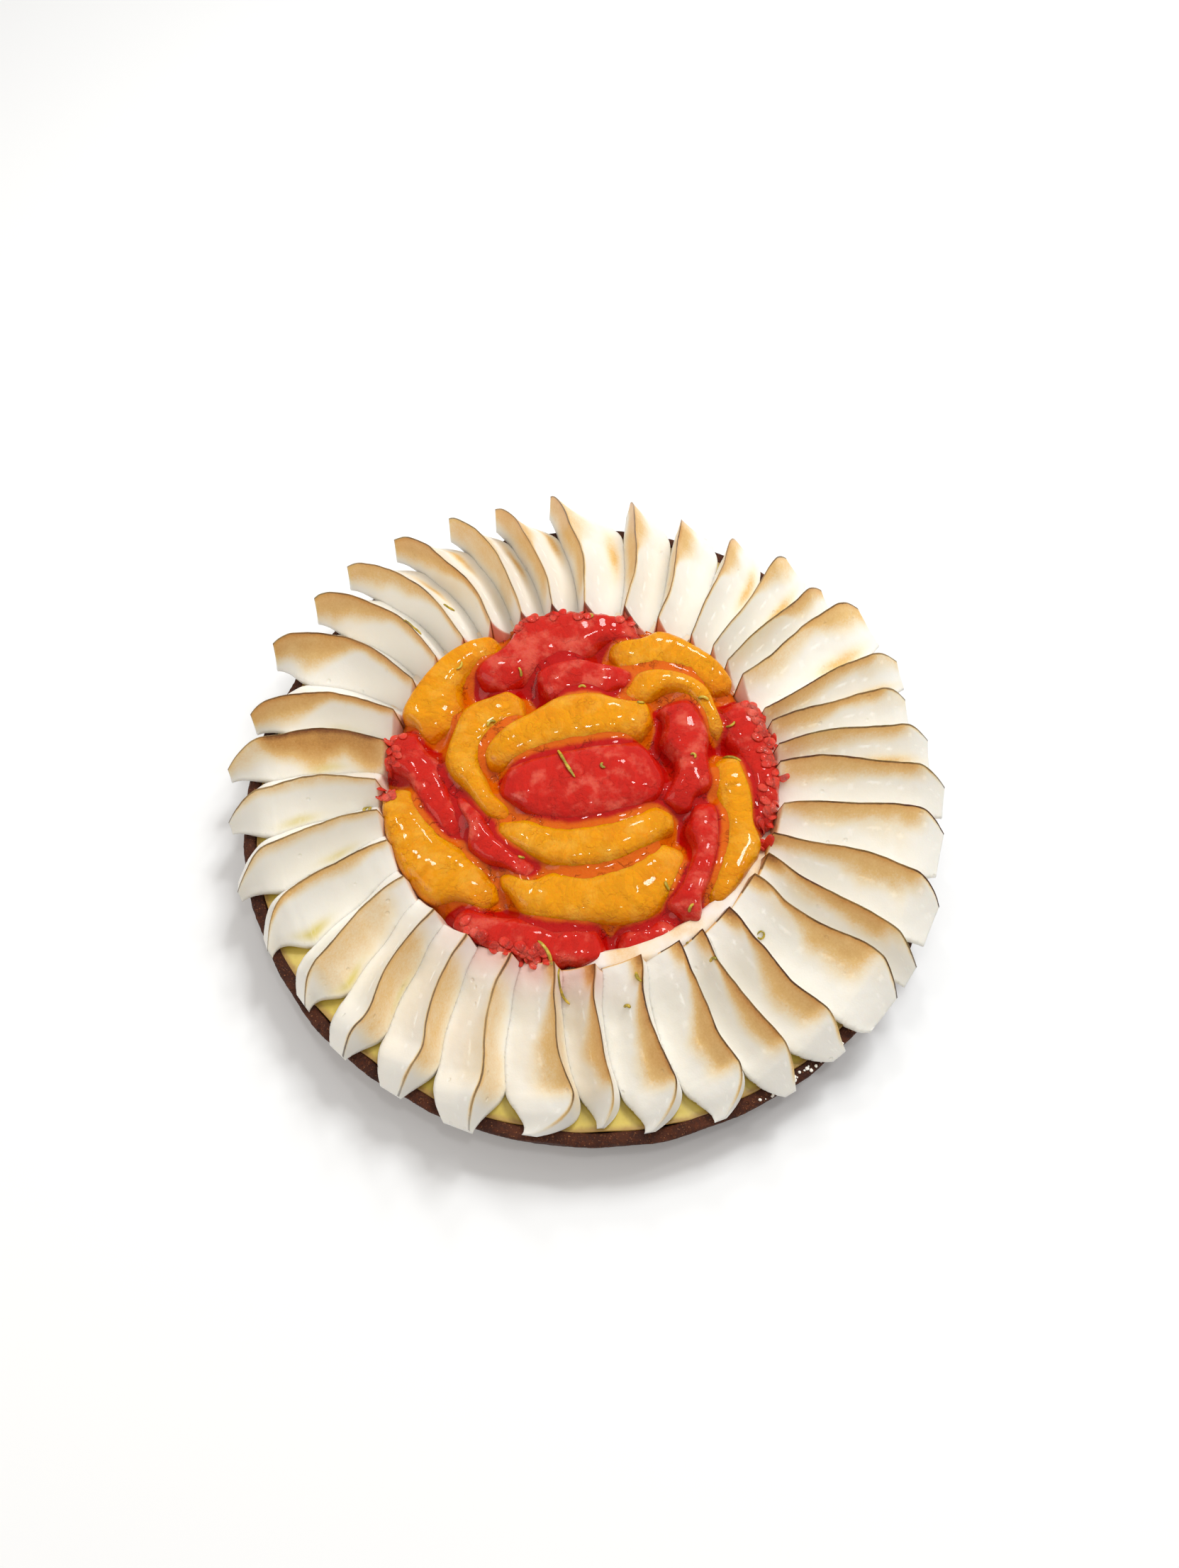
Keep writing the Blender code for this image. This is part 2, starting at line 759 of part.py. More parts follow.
def fuse_zest(curl, host):
    """Adds the curl to its host as one body, by a Boolean union."""
    shape = bmesh.new()
    shape.from_mesh(host.data)
    tree = BVHTree.FromBMesh(shape)
    shape.free()
    path = zest_path(curl, tree)
    if len(path) < 3:
        return
    rings = []
    for k, point in enumerate(path):
        ahead = path[min(k + 1, len(path) - 1)] - path[max(k - 1, 0)]
        across = Vector((-ahead.y, ahead.x, 0.0)).normalized()
        up = ahead.cross(across).normalized()
        ring = []
        for j in range(ZEST_SIDES):
            turned = 2.0 * math.pi * j / ZEST_SIDES
            ring.append(tuple(point + ZEST_RADIUS * (math.cos(turned) * across + math.sin(turned) * up)))
        rings.append(ring)
    strand = loft("zest_strand", rings, host.data.materials[0])
    union = host.modifiers.new("zest", "BOOLEAN")
    union.operation = "UNION"
    union.object = strand
    for solver in ("EXACT", "MANIFOLD"):
        union.solver = solver
        graph = bpy.context.evaluated_depsgraph_get()
        fused = bpy.data.meshes.new_from_object(host.evaluated_get(graph))
        if len(fused.vertices) > len(host.data.vertices):
            break
    host.modifiers.clear()
    host.data = fused
    bpy.data.objects.remove(strand, do_unlink=True)


def main():
    """Builds the tart: case, curd, meringue, fruit and the larger curls of zest."""
    clear_scene()
    draw = random.Random(SEED)
    crust = Crust(draw)
    crust.build(make_material("baked_crust", CRUST_COLOUR, 0.75))
    build_curd(crust, make_material("lemon_curd", CURD_COLOUR, 0.35))
    pieces = build_petals(draw, make_material("meringue", MERINGUE_COLOUR, 0.55))
    fruit_materials = {
        "orange": make_material("orange_flesh", ORANGE_COLOUR, 0.25, 0.6),
        "grapefruit": make_material("grapefruit_flesh", GRAPEFRUIT_COLOUR, 0.25, 0.6),
    }
    pieces += build_fruit(fruit_materials)
    hosts = {piece.name: piece for piece in pieces}
    for curl in ZEST_CURLS:
        fuse_zest(curl, hosts[curl.host])


main()
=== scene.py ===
"""The looks of a citrus tart: baked case, lemon curd, torched meringue petals, glazed segments and zest.

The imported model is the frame. Shapes are worked out in millimetres and stored in metres, with +Z up and
-Y at the front. Angles are in degrees, anticlockwise from +X as seen from above.
"""

from __future__ import annotations

import itertools
import logging
import math
import random
from collections.abc import Sequence
from dataclasses import astuple, dataclass, field
from enum import Enum, IntEnum

import bpy
import numpy as np
from bpy.types import Material, Node, NodeSocket, NodeTree, Object
from mathutils import Matrix, Vector
from mathutils.bvhtree import BVHTree


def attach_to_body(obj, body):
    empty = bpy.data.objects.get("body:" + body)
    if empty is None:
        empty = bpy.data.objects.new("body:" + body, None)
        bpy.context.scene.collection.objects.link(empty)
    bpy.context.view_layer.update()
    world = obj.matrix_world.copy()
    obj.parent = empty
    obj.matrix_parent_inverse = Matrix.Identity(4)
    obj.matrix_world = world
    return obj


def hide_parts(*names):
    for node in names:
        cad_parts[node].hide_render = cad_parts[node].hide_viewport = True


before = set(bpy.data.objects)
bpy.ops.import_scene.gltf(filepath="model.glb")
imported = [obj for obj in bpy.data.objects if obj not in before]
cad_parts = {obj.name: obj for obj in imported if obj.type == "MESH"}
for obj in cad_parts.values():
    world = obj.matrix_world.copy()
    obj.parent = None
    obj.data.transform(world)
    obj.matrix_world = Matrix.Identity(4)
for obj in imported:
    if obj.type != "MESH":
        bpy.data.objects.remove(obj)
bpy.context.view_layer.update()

LOG = logging.getLogger("tart")
Array = np.ndarray
Colour = tuple[float, float, float, float]
MM = 0.001
BODY = "root"
DOWN = Vector((0.0, 0.0, -1.0))
RAY_START = 0.2
ON_AXIS = 1e-3

CASE_HEIGHT = 20.0
RIM_RADIUS = 120.0
FOOT_RADIUS = 116.5
WALL = 4.2
FLOOR = 4.0
RIM_WAVE = 0.45
CURD_TOP = CASE_HEIGHT - 0.7
GAUGE_INNER = 68.0
GAUGE_OUTER = 105.0
PETALS_START = 68.4
PETALS_SHIFT = 3.2
PETALS_SHIFT_TOWARD = 160.0
FAR_FROM_RIDGE = 9.0


class Seed(IntEnum):
    """The seeds of the draws and of the tables of noise."""

    SHARED = 24
    CRUST = 301
    CURD = 302
    BED = 303
    GLAZE = 304
    STRANDS = 305
    SACS = 306
    SEGMENTS = 400
    CHIPS = 501
    GRIT = 502
    SAC_PLACES = 503
    PETAL_NOISE = 1000
    PETAL_TORCH = 2000


def mix(a, b, share):
    """Gives the value this share of the way from a to b, for numbers or arrays."""
    return a + (b - a) * share


def smooth_step(value: Array, low: float, high: float) -> Array:
    """Rises smoothly from 0 at low to 1 at high.

    Args:
        value: The numbers to map.
        low: Where the rise starts.
        high: Where it ends. It may be below low, and the result then falls.

    Returns:
        The mapped numbers, each from 0 to 1.
    """
    share = np.clip((np.asarray(value, float) - low) / (high - low), 0.0, 1.0)
    return share * share * (3.0 - 2.0 * share)


def bump_at(value: Array, centre: float, width: float) -> Array:
    """Gives a smooth hump, 1 at its centre, that falls to a third at this width from it."""
    return np.exp(-(((np.asarray(value, float) - centre) / width) ** 2))


def near_angle(angle: Array | float, centre: float, width: float) -> Array:
    """Gives 1 within half this width of a direction, falling smoothly to 0 at the full width."""
    turn = (np.asarray(angle, float) - centre + 180.0) % 360.0 - 180.0
    return smooth_step(np.abs(turn), width, 0.5 * width)


def swing(angle: Array | float, middle: float, size: float, toward: float) -> Array:
    """Gives a value that is largest in one direction and falls evenly to its least in the opposite one."""
    return middle + size * np.cos(np.radians(np.asarray(angle, float) - toward))


def polar(radius, angle) -> Array:
    """Gives the plan points at these radii and angles, as an array that ends in x and y."""
    turned = np.radians(angle)
    return np.stack([radius * np.cos(turned), radius * np.sin(turned)], axis=-1)


def from_axis(points: Array) -> tuple[Array, Array]:
    """Gives how far points lie from the middle as seen from above, and in which direction in degrees."""
    x, y = points[..., 0], points[..., 1]
    return np.hypot(x, y), np.degrees(np.arctan2(y, x))


class SmoothNoise:
    """Smooth seeded noise between -1 and 1, read at points in millimetres."""

    SLOTS = 8192
    FACTORS = (73856093, 19349663, 83492791)
    SHIFT = 37.7
    SPREAD = 1.4

    def __init__(self, seed: int) -> None:
        """Fills the table of random corner values.

        Args:
            seed: The seed of the table.
        """
        self.table = np.random.default_rng(seed).uniform(-1.0, 1.0, self.SLOTS)

    def at(self, points: Array, size: float) -> Array:
        """Reads the noise.

        Args:
            points: An array that ends in x, y and z, in millimetres.
            size: The width of one lump, in millimetres.

        Returns:
            One value for each point.
        """
        grid = np.asarray(points, float) / size
        cell = np.floor(grid).astype(np.int64)
        part = grid - cell
        part = part * part * (3.0 - 2.0 * part)
        total = np.zeros(grid.shape[:-1])
        for corner in itertools.product((0, 1), repeat=3):
            key = np.zeros(grid.shape[:-1], np.int64)
            weight = np.ones(grid.shape[:-1])
            for axis, step in enumerate(corner):
                key ^= (cell[..., axis] + step) * self.FACTORS[axis]
                weight *= part[..., axis] if step else 1.0 - part[..., axis]
            total += weight * self.table[key % self.SLOTS]
        return total

    def rough(self, points: Array, size: float, octaves: int = 3) -> Array:
        """Adds ever finer noise to the first.

        Args:
            points: An array that ends in x, y and z, in millimetres.
            size: The width of the largest lumps.
            octaves: How many sizes are added, each half the one before.

        Returns:
            One value for each point, mostly between -1 and 1.
        """
        shifted = np.asarray(points, float)
        total = np.zeros(shifted.shape[:-1])
        for octave in range(octaves):
            share = 0.5**octave
            total += share * self.at(shifted + self.SHIFT * octave, size * share)
        return total / self.SPREAD


def select_only(obj: Object) -> None:
    """Selects one object and makes it active."""
    bpy.ops.object.select_all(action="DESELECT")
    obj.select_set(True)
    bpy.context.view_layer.objects.active = obj


def take_new(name: str) -> Object:
    """Gives the object that an operator has just added this name, and its mesh too."""
    obj = bpy.context.active_object
    obj.name = name
    obj.data.name = name
    return obj


def read_points(obj: Object) -> Array:
    """Reads a mesh's vertices, in the units they are stored in."""
    points = np.empty(len(obj.data.vertices) * 3)
    obj.data.vertices.foreach_get("co", points)
    return points.reshape(-1, 3)


def write_points(obj: Object, points: Array) -> None:
    """Writes a mesh's vertices."""
    obj.data.vertices.foreach_set("co", np.ascontiguousarray(points, np.float32).ravel())
    obj.data.update()


def paint(obj: Object, name: str, values: Array) -> None:
    """Stores one number for each vertex, for a material to read.

    Args:
        obj: The mesh object.
        name: The attribute's name.
        values: One number, or one vector of three, for each vertex.
    """
    values = np.asarray(values, np.float32)
    kind, key = ("FLOAT_VECTOR", "vector") if values.ndim == 2 else ("FLOAT", "value")
    layer = obj.data.attributes.new(name, kind, "POINT")
    layer.data.foreach_set(key, np.ascontiguousarray(values).ravel())


def face_outward(obj: Object) -> None:
    """Turns every face of a closed mesh outward and shades it smooth."""
    select_only(obj)
    bpy.ops.object.mode_set(mode="EDIT")
    bpy.ops.mesh.select_all(action="SELECT")
    bpy.ops.mesh.normals_make_consistent(inside=False)
    bpy.ops.object.mode_set(mode="OBJECT")
    bpy.ops.object.shade_smooth()


def attach(obj: Object, material: Material, nodes: Sequence[str] = ()) -> None:
    """Gives a finished piece its material, its body and the nodes that it stands for.

    Args:
        obj: The piece.
        material: Its material.
        nodes: The names of the nodes that it replaces.
    """
    obj.data.materials.clear()
    obj.data.materials.append(material)
    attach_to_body(obj, BODY)
    if nodes:
        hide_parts(*nodes)
    LOG.info("%s: %d faces", obj.name, len(obj.data.polygons))


@dataclass
class SphereForm:
    """A sphere primitive laid over a form, ring by ring from one pole to the other."""

    obj: Object
    ring: Array
    spoke: Array
    last: int

    @classmethod
    def lay(cls, name: str, rings: Array, start: Array, end: Array) -> SphereForm:
        """Adds the sphere and moves its vertices onto the form.

        Args:
            name: The new object's name.
            rings: The form's points in millimetres, as rings by spokes by three.
            start: The point that closes the first ring.
            end: The point that closes the last ring.

        Returns:
            The form, with its object in metres.
        """
        count, spokes = rings.shape[:2]
        bpy.ops.mesh.primitive_uv_sphere_add(segments=spokes, ring_count=count + 1, radius=1.0)
        obj = take_new(name)
        ball = read_points(obj)
        fall = np.arccos(np.clip(ball[:, 2], -1.0, 1.0)) / math.pi
        turn = np.arctan2(ball[:, 1], ball[:, 0]) / (2.0 * math.pi)
        ring = np.rint(fall * (count + 1)).astype(int)
        spoke = np.rint(turn * spokes).astype(int) % spokes
        form = cls(obj, ring, spoke, count + 1)
        write_points(obj, form.spread(rings, start, end) * MM)
        face_outward(obj)
        return form

    def spread(self, values: Array, start: Array | float, end: Array | float) -> Array:
        """Turns values by ring and spoke into values by vertex.

        Args:
            values: The values, as rings by spokes.
            start: The first pole's value.
            end: The last pole's value.

        Returns:
            The values in the order of the mesh's vertices.
        """
        inside = np.clip(self.ring - 1, 0, self.last - 2)
        found = np.array(values[inside, self.spoke], float)
        found[self.ring == 0] = start
        found[self.ring == self.last] = end
        return found

    def paint(self, name: str, values: Array, start: float = 0.0, end: float = 0.0) -> None:
        """Stores values by ring and spoke as an attribute. The poles take vectors from beside them."""
        if values.ndim == 3:
            start, end = values[0, 0], values[-1, 0]
        paint(self.obj, name, self.spread(values, start, end))


def turned_form(
    name: str, profile: Sequence[tuple[float, float]], steps: int, ring: bool
) -> Object:
    """Models a turned shape: a circle is extruded from one point of the outline to the next.

    Args:
        name: The new object's name.
        profile: The outline's radii and heights, in millimetres.
        steps: How many sides the shape has.
        ring: Whether the outline closes on itself, or ends at the axis at both ends.

    Returns:
        The closed shape.
    """
    radius, height = profile[0]
    bpy.ops.mesh.primitive_circle_add(vertices=steps, radius=radius * MM, location=(0.0, 0.0, height * MM))
    obj = take_new(name)
    bpy.ops.object.transform_apply(location=True, rotation=True, scale=True)
    bpy.ops.object.mode_set(mode="EDIT")
    bpy.ops.mesh.select_all(action="SELECT")
    if not ring:
        bpy.ops.mesh.edge_face_add()
        bpy.ops.mesh.inset(thickness=radius * MM * 0.5)
        bpy.ops.mesh.poke()
        bpy.ops.mesh.select_all(action="DESELECT")
        bpy.ops.mesh.select_non_manifold()
    for (r0, z0), (r1, z1) in itertools.pairwise(profile):
        bpy.ops.mesh.extrude_edges_move(TRANSFORM_OT_translate={"value": (0.0, 0.0, (z1 - z0) * MM)})
        bpy.ops.transform.resize(value=(r1 / r0, r1 / r0, 1.0), center_override=(0.0, 0.0, z1 * MM))
    if not ring:
        bpy.ops.mesh.edge_face_add()
        bpy.ops.mesh.poke()
    bpy.ops.mesh.select_all(action="SELECT")
    bpy.ops.mesh.remove_doubles(threshold=1e-6)
    bpy.ops.object.mode_set(mode="OBJECT")
    face_outward(obj)
    return obj


class NodeSheet:
    """Adds shader nodes to one tree and links them."""

    def __init__(self, tree: NodeTree) -> None:
        """Keeps the tree.

        Args:
            tree: The node tree to add to.
        """
        self.tree = tree

    def feed(self, socket: NodeSocket, value: object) -> None:
        """Gives an input a plain value, or links another node's output to it."""
        if isinstance(value, NodeSocket):
            self.tree.links.new(value, socket)
        else:
            socket.default_value = value

    def add(self, kind: str, inputs: dict | None = None, **settings: object) -> Node:
        """Adds one node.

        Args:
            kind: The node's type.
            inputs: A value or an output socket for each input, by name or number.
            settings: The node's own settings by name.

        Returns:
            The node.
        """
        node = self.tree.nodes.new(kind)
        for name, value in settings.items():
            setattr(node, name, value)
        for key, value in (inputs or {}).items():
            self.feed(node.inputs[key], value)
        return node

    def calc(self, operation: str, first: object, second: object = 0.0, hold: bool = False) -> NodeSocket:
        """Adds a Math node and gives its output."""
        node = self.add("ShaderNodeMath", {0: first, 1: second}, operation=operation, use_clamp=hold)
        return node.outputs[0]

    def plus(self, first: object, second: object, hold: bool = False) -> NodeSocket:
        """Adds two values, and holds the result between 0 and 1 if asked."""
        return self.calc("ADD", first, second, hold)

    def times(self, first: object, second: object, hold: bool = False) -> NodeSocket:
        """Multiplies two values, and holds the result between 0 and 1 if asked."""
        return self.calc("MULTIPLY", first, second, hold)

    def ramp(
        self, value: object, low: float, high: float, start: float = 0.0, end: float = 1.0
    ) -> NodeSocket:
        """Adds a smooth Map Range from low and high to start and end, and gives its output."""
        inputs = {"Value": value, "From Min": low, "From Max": high, "To Min": start, "To Max": end}
        return self.add("ShaderNodeMapRange", inputs, interpolation_type="SMOOTHSTEP").outputs["Result"]

    def noise(self, vector: object, size: float, detail: float = 3.0, rough: float = 0.5) -> NodeSocket:
        """Adds noise whose lumps are about this many millimetres wide, and gives its value."""
        inputs = {"Vector": vector, "Scale": 1.0 / (size * MM), "Detail": detail, "Roughness": rough}
        return self.add("ShaderNodeTexNoise", inputs).outputs["Fac"]

    def drift(self, vector: object, size: float, detail: float = 3.0, rough: float = 0.5) -> NodeSocket:
        """Adds the same noise, shifted to swing round 0."""
        return self.calc("SUBTRACT", self.noise(vector, size, detail, rough), 0.5)

    def blend(self, share: object, first: object, second: object, mode: str = "MIX") -> NodeSocket:
        """Mixes two colours and gives the result."""
        node = self.add("ShaderNodeMix", data_type="RGBA", blend_type=mode)
        for key, value in (("Factor_Float", share), ("A_Color", first), ("B_Color", second)):
            self.feed(next(s for s in node.inputs if s.identifier == key), value)
        return next(s for s in node.outputs if s.identifier == "Result_Color")

    def colours(self, value: object, stops: Sequence[tuple[float, tuple]]) -> NodeSocket:
        """Adds a colour ramp through these places and colours, and gives its colour."""
        node = self.add("ShaderNodeValToRGB", {"Fac": value})
        ramp = node.color_ramp
        while len(ramp.elements) < len(stops):
            ramp.elements.new(1.0)
        for element, (place, colour) in zip(ramp.elements, stops, strict=True):
            element.position = place
            element.color = colour
        return node.outputs["Color"]

    def read(self, name: str, output: str = "Fac") -> NodeSocket:
        """Reads an attribute of the mesh."""
        return self.add("ShaderNodeAttribute", attribute_name=name).outputs[output]

    def place(self) -> NodeSocket:
        """Gives the Object coordinates."""
        return self.add("ShaderNodeTexCoord").outputs["Object"]


def srgb(red: int, green: int, blue: int) -> Colour:
    """Turns a colour as a screen shows it, from 0 to 255, into the linear colour that a shader takes."""
    shares = [value / 255.0 for value in (red, green, blue)]
    linear = [((share + 0.055) / 1.055) ** 2.4 if share > 0.04 else share / 12.92 for share in shares]
    return (*linear, 1.0)


class Effects:
    """The shader groups that several finishes share, each built once."""

    def __init__(self) -> None:
        """Builds the groups."""
        self.pores = self._pores()
        self.wet = self._wet()
        self.sacs = self._sacs()

    @staticmethod
    def _start(name: str, inputs: dict[str, float], outputs: Sequence[str]) -> tuple:
        """Starts one group, and gives it with its sheet, its inputs by name and its outputs by name."""
        group = bpy.data.node_groups.new(name, "ShaderNodeTree")
        for key, value in inputs.items():
            socket = group.interface.new_socket(key, in_out="INPUT", socket_type="NodeSocketFloat")
            socket.default_value = value
        for key in outputs:
            group.interface.new_socket(key, in_out="OUTPUT", socket_type="NodeSocketFloat")
        sheet = NodeSheet(group)
        return group, sheet, sheet.add("NodeGroupInput").outputs, sheet.add("NodeGroupOutput").inputs

    def _pores(self) -> NodeTree:
        """Builds scattered small pits and a fine grain, for meringue and crust."""
        group, sheet, given, out = self._start("pores", {"Spacing": 200.0, "Width": 0.2}, ("Pit", "Grain"))
        place = sheet.place()
        cells = sheet.add("ShaderNodeTexVoronoi", {"Vector": place, "Scale": given["Spacing"]})
        near = sheet.calc("DIVIDE", cells.outputs["Distance"], given["Width"])
        pit = sheet.ramp(near, 0.35, 1.0, 1.0, 0.0)
        chosen = sheet.add("ShaderNodeSeparateColor", {0: cells.outputs["Color"]}).outputs[0]
        few = sheet.ramp(chosen, 0.62, 0.70)
        sheet.feed(out["Pit"], sheet.times(pit, few))
        sheet.feed(out["Grain"], sheet.noise(place, 0.7, 4.0, 0.6))
        return group

    def _wet(self) -> NodeTree:
        """Builds the uneven height of a clear glaze: soft waves, finer wrinkles and a few thin creases."""
        group, sheet, given, out = self._start("wet_film", {"Wrinkle": 0.5, "Crease": 0.5}, ("Height",))
        place = sheet.place()
        wave = sheet.noise(place, 4.5, 2.0, 0.5)
        bent = sheet.noise(place, 1.5, 2.0, 0.6)
        total = sheet.plus(wave, sheet.times(bent, given["Wrinkle"]))
        off_line = sheet.calc("ABSOLUTE", sheet.drift(place, 5.5, 3.0, 0.6))
        crease = sheet.ramp(off_line, 0.0, 0.035, 1.0, 0.0)
        some = sheet.ramp(sheet.noise(place, 7.0, 1.0), 0.50, 0.62)
        raised = sheet.times(sheet.times(crease, some), given["Crease"])
        sheet.feed(out["Height"], sheet.plus(total, raised))
        return group

    def _sacs(self) -> NodeTree:
        """Builds the long juice sacs that lie across a citrus segment, from its grain attribute."""
        inputs = {"Width": 1.5, "Length": 6.0}
        group, sheet, given, out = self._start("juice_sacs", inputs, ("Cell", "Wall"))
        grain = sheet.read("grain", "Vector")
        bend = sheet.add("ShaderNodeTexNoise", {"Vector": grain, "Scale": 0.16, "Detail": 2.0})
        bending = {0: bend.outputs["Color"], 1: (5.0, 5.0, 0.0)}
        pushed = sheet.add("ShaderNodeVectorMath", bending, operation="MULTIPLY").outputs[0]
        moved = sheet.add("ShaderNodeVectorMath", {0: grain, 1: pushed}, operation="ADD").outputs[0]
        along, across, layer = sheet.add("ShaderNodeSeparateXYZ", {0: moved}).outputs
        parts = {
            0: sheet.calc("DIVIDE", along, given["Width"]),
            1: sheet.calc("DIVIDE", across, given["Length"]),
            2: layer,
        }
        flat = sheet.add("ShaderNodeCombineXYZ", parts).outputs[0]
        cell = {"Vector": flat, "Scale": 1.0}
        cells = sheet.add("ShaderNodeTexVoronoi", cell)
        walls = sheet.add("ShaderNodeTexVoronoi", cell, feature="DISTANCE_TO_EDGE")
        colour = sheet.add("ShaderNodeSeparateColor", {0: cells.outputs["Color"]}).outputs[0]
        sheet.feed(out["Cell"], colour)
        sheet.feed(out["Wall"], sheet.ramp(walls.outputs["Distance"], 0.0, 0.22, 1.0, 0.0))
        return group


class Finish:
    """A material with one Principled shader, and the sheet that its nodes are added to."""

    def __init__(self, name: str, effects: Effects, settings: dict[str, object]) -> None:
        """Makes the material and sets what is the same all over.

        Args:
            name: The material's name.
            effects: The shared shader groups.
            settings: Values of the shader's own sockets.
        """
        self.material = bpy.data.materials.new(name)
        self.material.use_nodes = True
        self.sheet = NodeSheet(self.material.node_tree)
        self.effects = effects
        self.shader = self.material.node_tree.nodes["Principled BSDF"]
        for key, value in settings.items():
            self.feed(key, value)

    def feed(self, key: str, value: object) -> None:
        """Gives one of the shader's sockets a value or an output."""
        self.sheet.feed(self.shader.inputs[key], value)

    def raise_by(self, height: NodeSocket, depth: float, under: NodeSocket | None = None) -> NodeSocket:
        """Adds a Bump node this many millimetres deep and gives its normal."""
        inputs = {"Height": height, "Distance": depth * MM, "Strength": 1.0}
        if under is not None:
            inputs["Normal"] = under
        return self.sheet.add("ShaderNodeBump", inputs).outputs["Normal"]

    def group(self, group: NodeTree, **inputs: float) -> Sequence[NodeSocket]:
        """Places a shared group with its own values and gives its outputs."""
        return self.sheet.add("ShaderNodeGroup", inputs, node_tree=group).outputs

    def sink(self, pit: NodeSocket, depth: float, under: NodeSocket | None = None) -> NodeSocket:
        """Sinks the pores' pits this deep and gives the normal."""
        return self.raise_by(self.sheet.times(pit, -1.0), depth, under)


@dataclass(frozen=True)
class Look:
    """The base of all finishes: a name, settings of the shader and the nodes that dress it."""

    name: str
    SETTINGS = {}

    def build(self, effects: Effects) -> Material:
        """Builds the material.

        Args:
            effects: The shared shader groups.

        Returns:
            The material.
        """
        finish = Finish(self.name, effects, self.SETTINGS)
        self.dress(finish, finish.sheet)
        return finish.material

    def dress(self, finish: Finish, sheet: NodeSheet) -> None:
        """Adds the nodes that make this finish what it is.

        Args:
            finish: The material and its shader.
            sheet: The sheet that its nodes go to.
        """
        raise NotImplementedError


@dataclass(frozen=True)
class MeringueFinish(Look):
    """Soft white meringue, scorched where the torch caught it."""

    SETTINGS = {
        "Subsurface Weight": 0.30,
        "Subsurface Radius": (1.0, 0.82, 0.62),
        "Subsurface Scale": 0.0025,
        "Specular IOR Level": 0.42,
    }
    name: str = "torched_meringue"
    white: Colour = srgb(239, 235, 226)
    cream: Colour = srgb(238, 224, 197)
    gold: Colour = srgb(228, 190, 126)
    tan: Colour = srgb(206, 152, 80)
    brown: Colour = srgb(140, 84, 36)
    char: Colour = srgb(52, 26, 12)
    pink: Colour = srgb(226, 112, 88)
    curd: Colour = srgb(214, 196, 104)

    def dress(self, finish: Finish, sheet: NodeSheet) -> None:
        """Adds the nodes, which read the attributes torch, ridge, scorch, stain and curd."""
        place = sheet.place()
        torch = sheet.read("torch")
        broad = sheet.drift(place, 6.0, 4.0, 0.55)
        fine = sheet.drift(place, 0.8, 4.0, 0.75)
        uneven = sheet.plus(sheet.times(broad, 0.6), sheet.times(fine, 0.8))
        room = sheet.times(sheet.ramp(torch, 0.0, 0.30, 0.12, 1.0), 0.45)
        heat = sheet.plus(torch, sheet.times(uneven, room), True)
        stops = (
            (0.0, self.white),
            (0.16, self.cream),
            (0.42, self.gold),
            (0.72, self.tan),
            (1.0, self.brown),
        )
        colour = sheet.colours(heat, stops)
        wander = sheet.times(sheet.drift(place, 2.2), 0.4)
        line = sheet.ramp(sheet.plus(sheet.read("ridge"), wander), 0.30, 0.74, 1.0, 0.0)
        charred = sheet.times(line, sheet.read("scorch"), True)
        colour = sheet.blend(charred, colour, self.char)
        colour = sheet.blend(sheet.read("curd"), colour, self.curd)
        stain = sheet.times(sheet.read("stain"), 0.8, True)
        finish.feed("Base Color", sheet.blend(stain, colour, self.pink, "MULTIPLY"))
        finish.feed("Roughness", sheet.ramp(heat, 0.0, 0.8, 0.46, 0.36))
        pores = finish.group(finish.effects.pores, Spacing=170.0, Width=0.16)
        grain = finish.raise_by(pores["Grain"], 0.05)
        finish.feed("Normal", finish.sink(pores["Pit"], 0.22, grain))


class Citrus(Enum):
    """The two kinds of segment."""

    ORANGE = "orange"
    GRAPEFRUIT = "grapefruit"


WET = {"Subsurface Scale": 0.003, "Specular IOR Level": 0.05, "Coat Weight": 0.85, "Coat IOR": 1.34}


@dataclass(frozen=True)
class CitrusFinish(Look):
    """Wet citrus flesh under a clear glaze, with painted light: deep low down and brighter at the crown,
    where pale patches are partly painted sheen and partly cloudy flesh.
    """

    SETTINGS = WET | {
        "Subsurface Weight": 0.5,
        "Subsurface Radius": (1.0, 0.35, 0.12),
        "Roughness": 0.4,
        "Coat Roughness": 0.03,
    }
    # Painted light: deep is the shaded lower sides, pale the lit crown, and cloud the pale patches on the
    # crown, partly painted sheen and partly cloudy flesh.
    deep: Colour
    flesh: Colour
    pale: Colour
    cloud: Colour
    cloud_and_sheen_share: float

    def dress(self, finish: Finish, sheet: NodeSheet) -> None:
        """Adds the nodes, which read the attributes grain and crown."""
        place = sheet.place()
        sacs = finish.group(finish.effects.sacs, Width=1.4, Length=4.5)
        # Painted light: the crown attribute lifts the colour from deep on the shaded lower sides to pale on
        # the lit top.
        crown = sheet.read("crown")
        patch = sheet.drift(place, 11.0)
        depth = sheet.plus(crown, sheet.times(patch, 0.9), True)
        colour = sheet.colours(depth, ((0.0, self.deep), (0.45, self.flesh), (1.0, self.pale)))
        cell = sheet.ramp(sacs["Cell"], 0.0, 1.0, 0.93, 1.05)
        shade = sheet.add("ShaderNodeCombineColor", {0: cell, 1: cell, 2: cell}).outputs[0]
        colour = sheet.blend(1.0, colour, shade, "MULTIPLY")
        # Pale patches on the lit crown: partly painted sheen, partly the flesh's own cloudiness.
        cloud_and_sheen_patches = sheet.ramp(sheet.noise(place, 8.0, 4.0, 0.6), 0.47, 0.70)
        cloud_and_sheen_veil = sheet.times(cloud_and_sheen_patches, sheet.times(crown, self.cloud_and_sheen_share), True)
        finish.feed("Base Color", sheet.blend(cloud_and_sheen_veil, colour, self.cloud))
        pebble = sheet.noise(place, 1.1, 2.0, 0.6)
        body = finish.raise_by(sheet.calc("SUBTRACT", sheet.times(pebble, 1.6), sacs["Wall"]), 0.055)
        film = finish.group(finish.effects.wet, Wrinkle=0.60, Crease=0.25)
        finish.feed("Normal", finish.raise_by(film["Height"], 0.80, body))


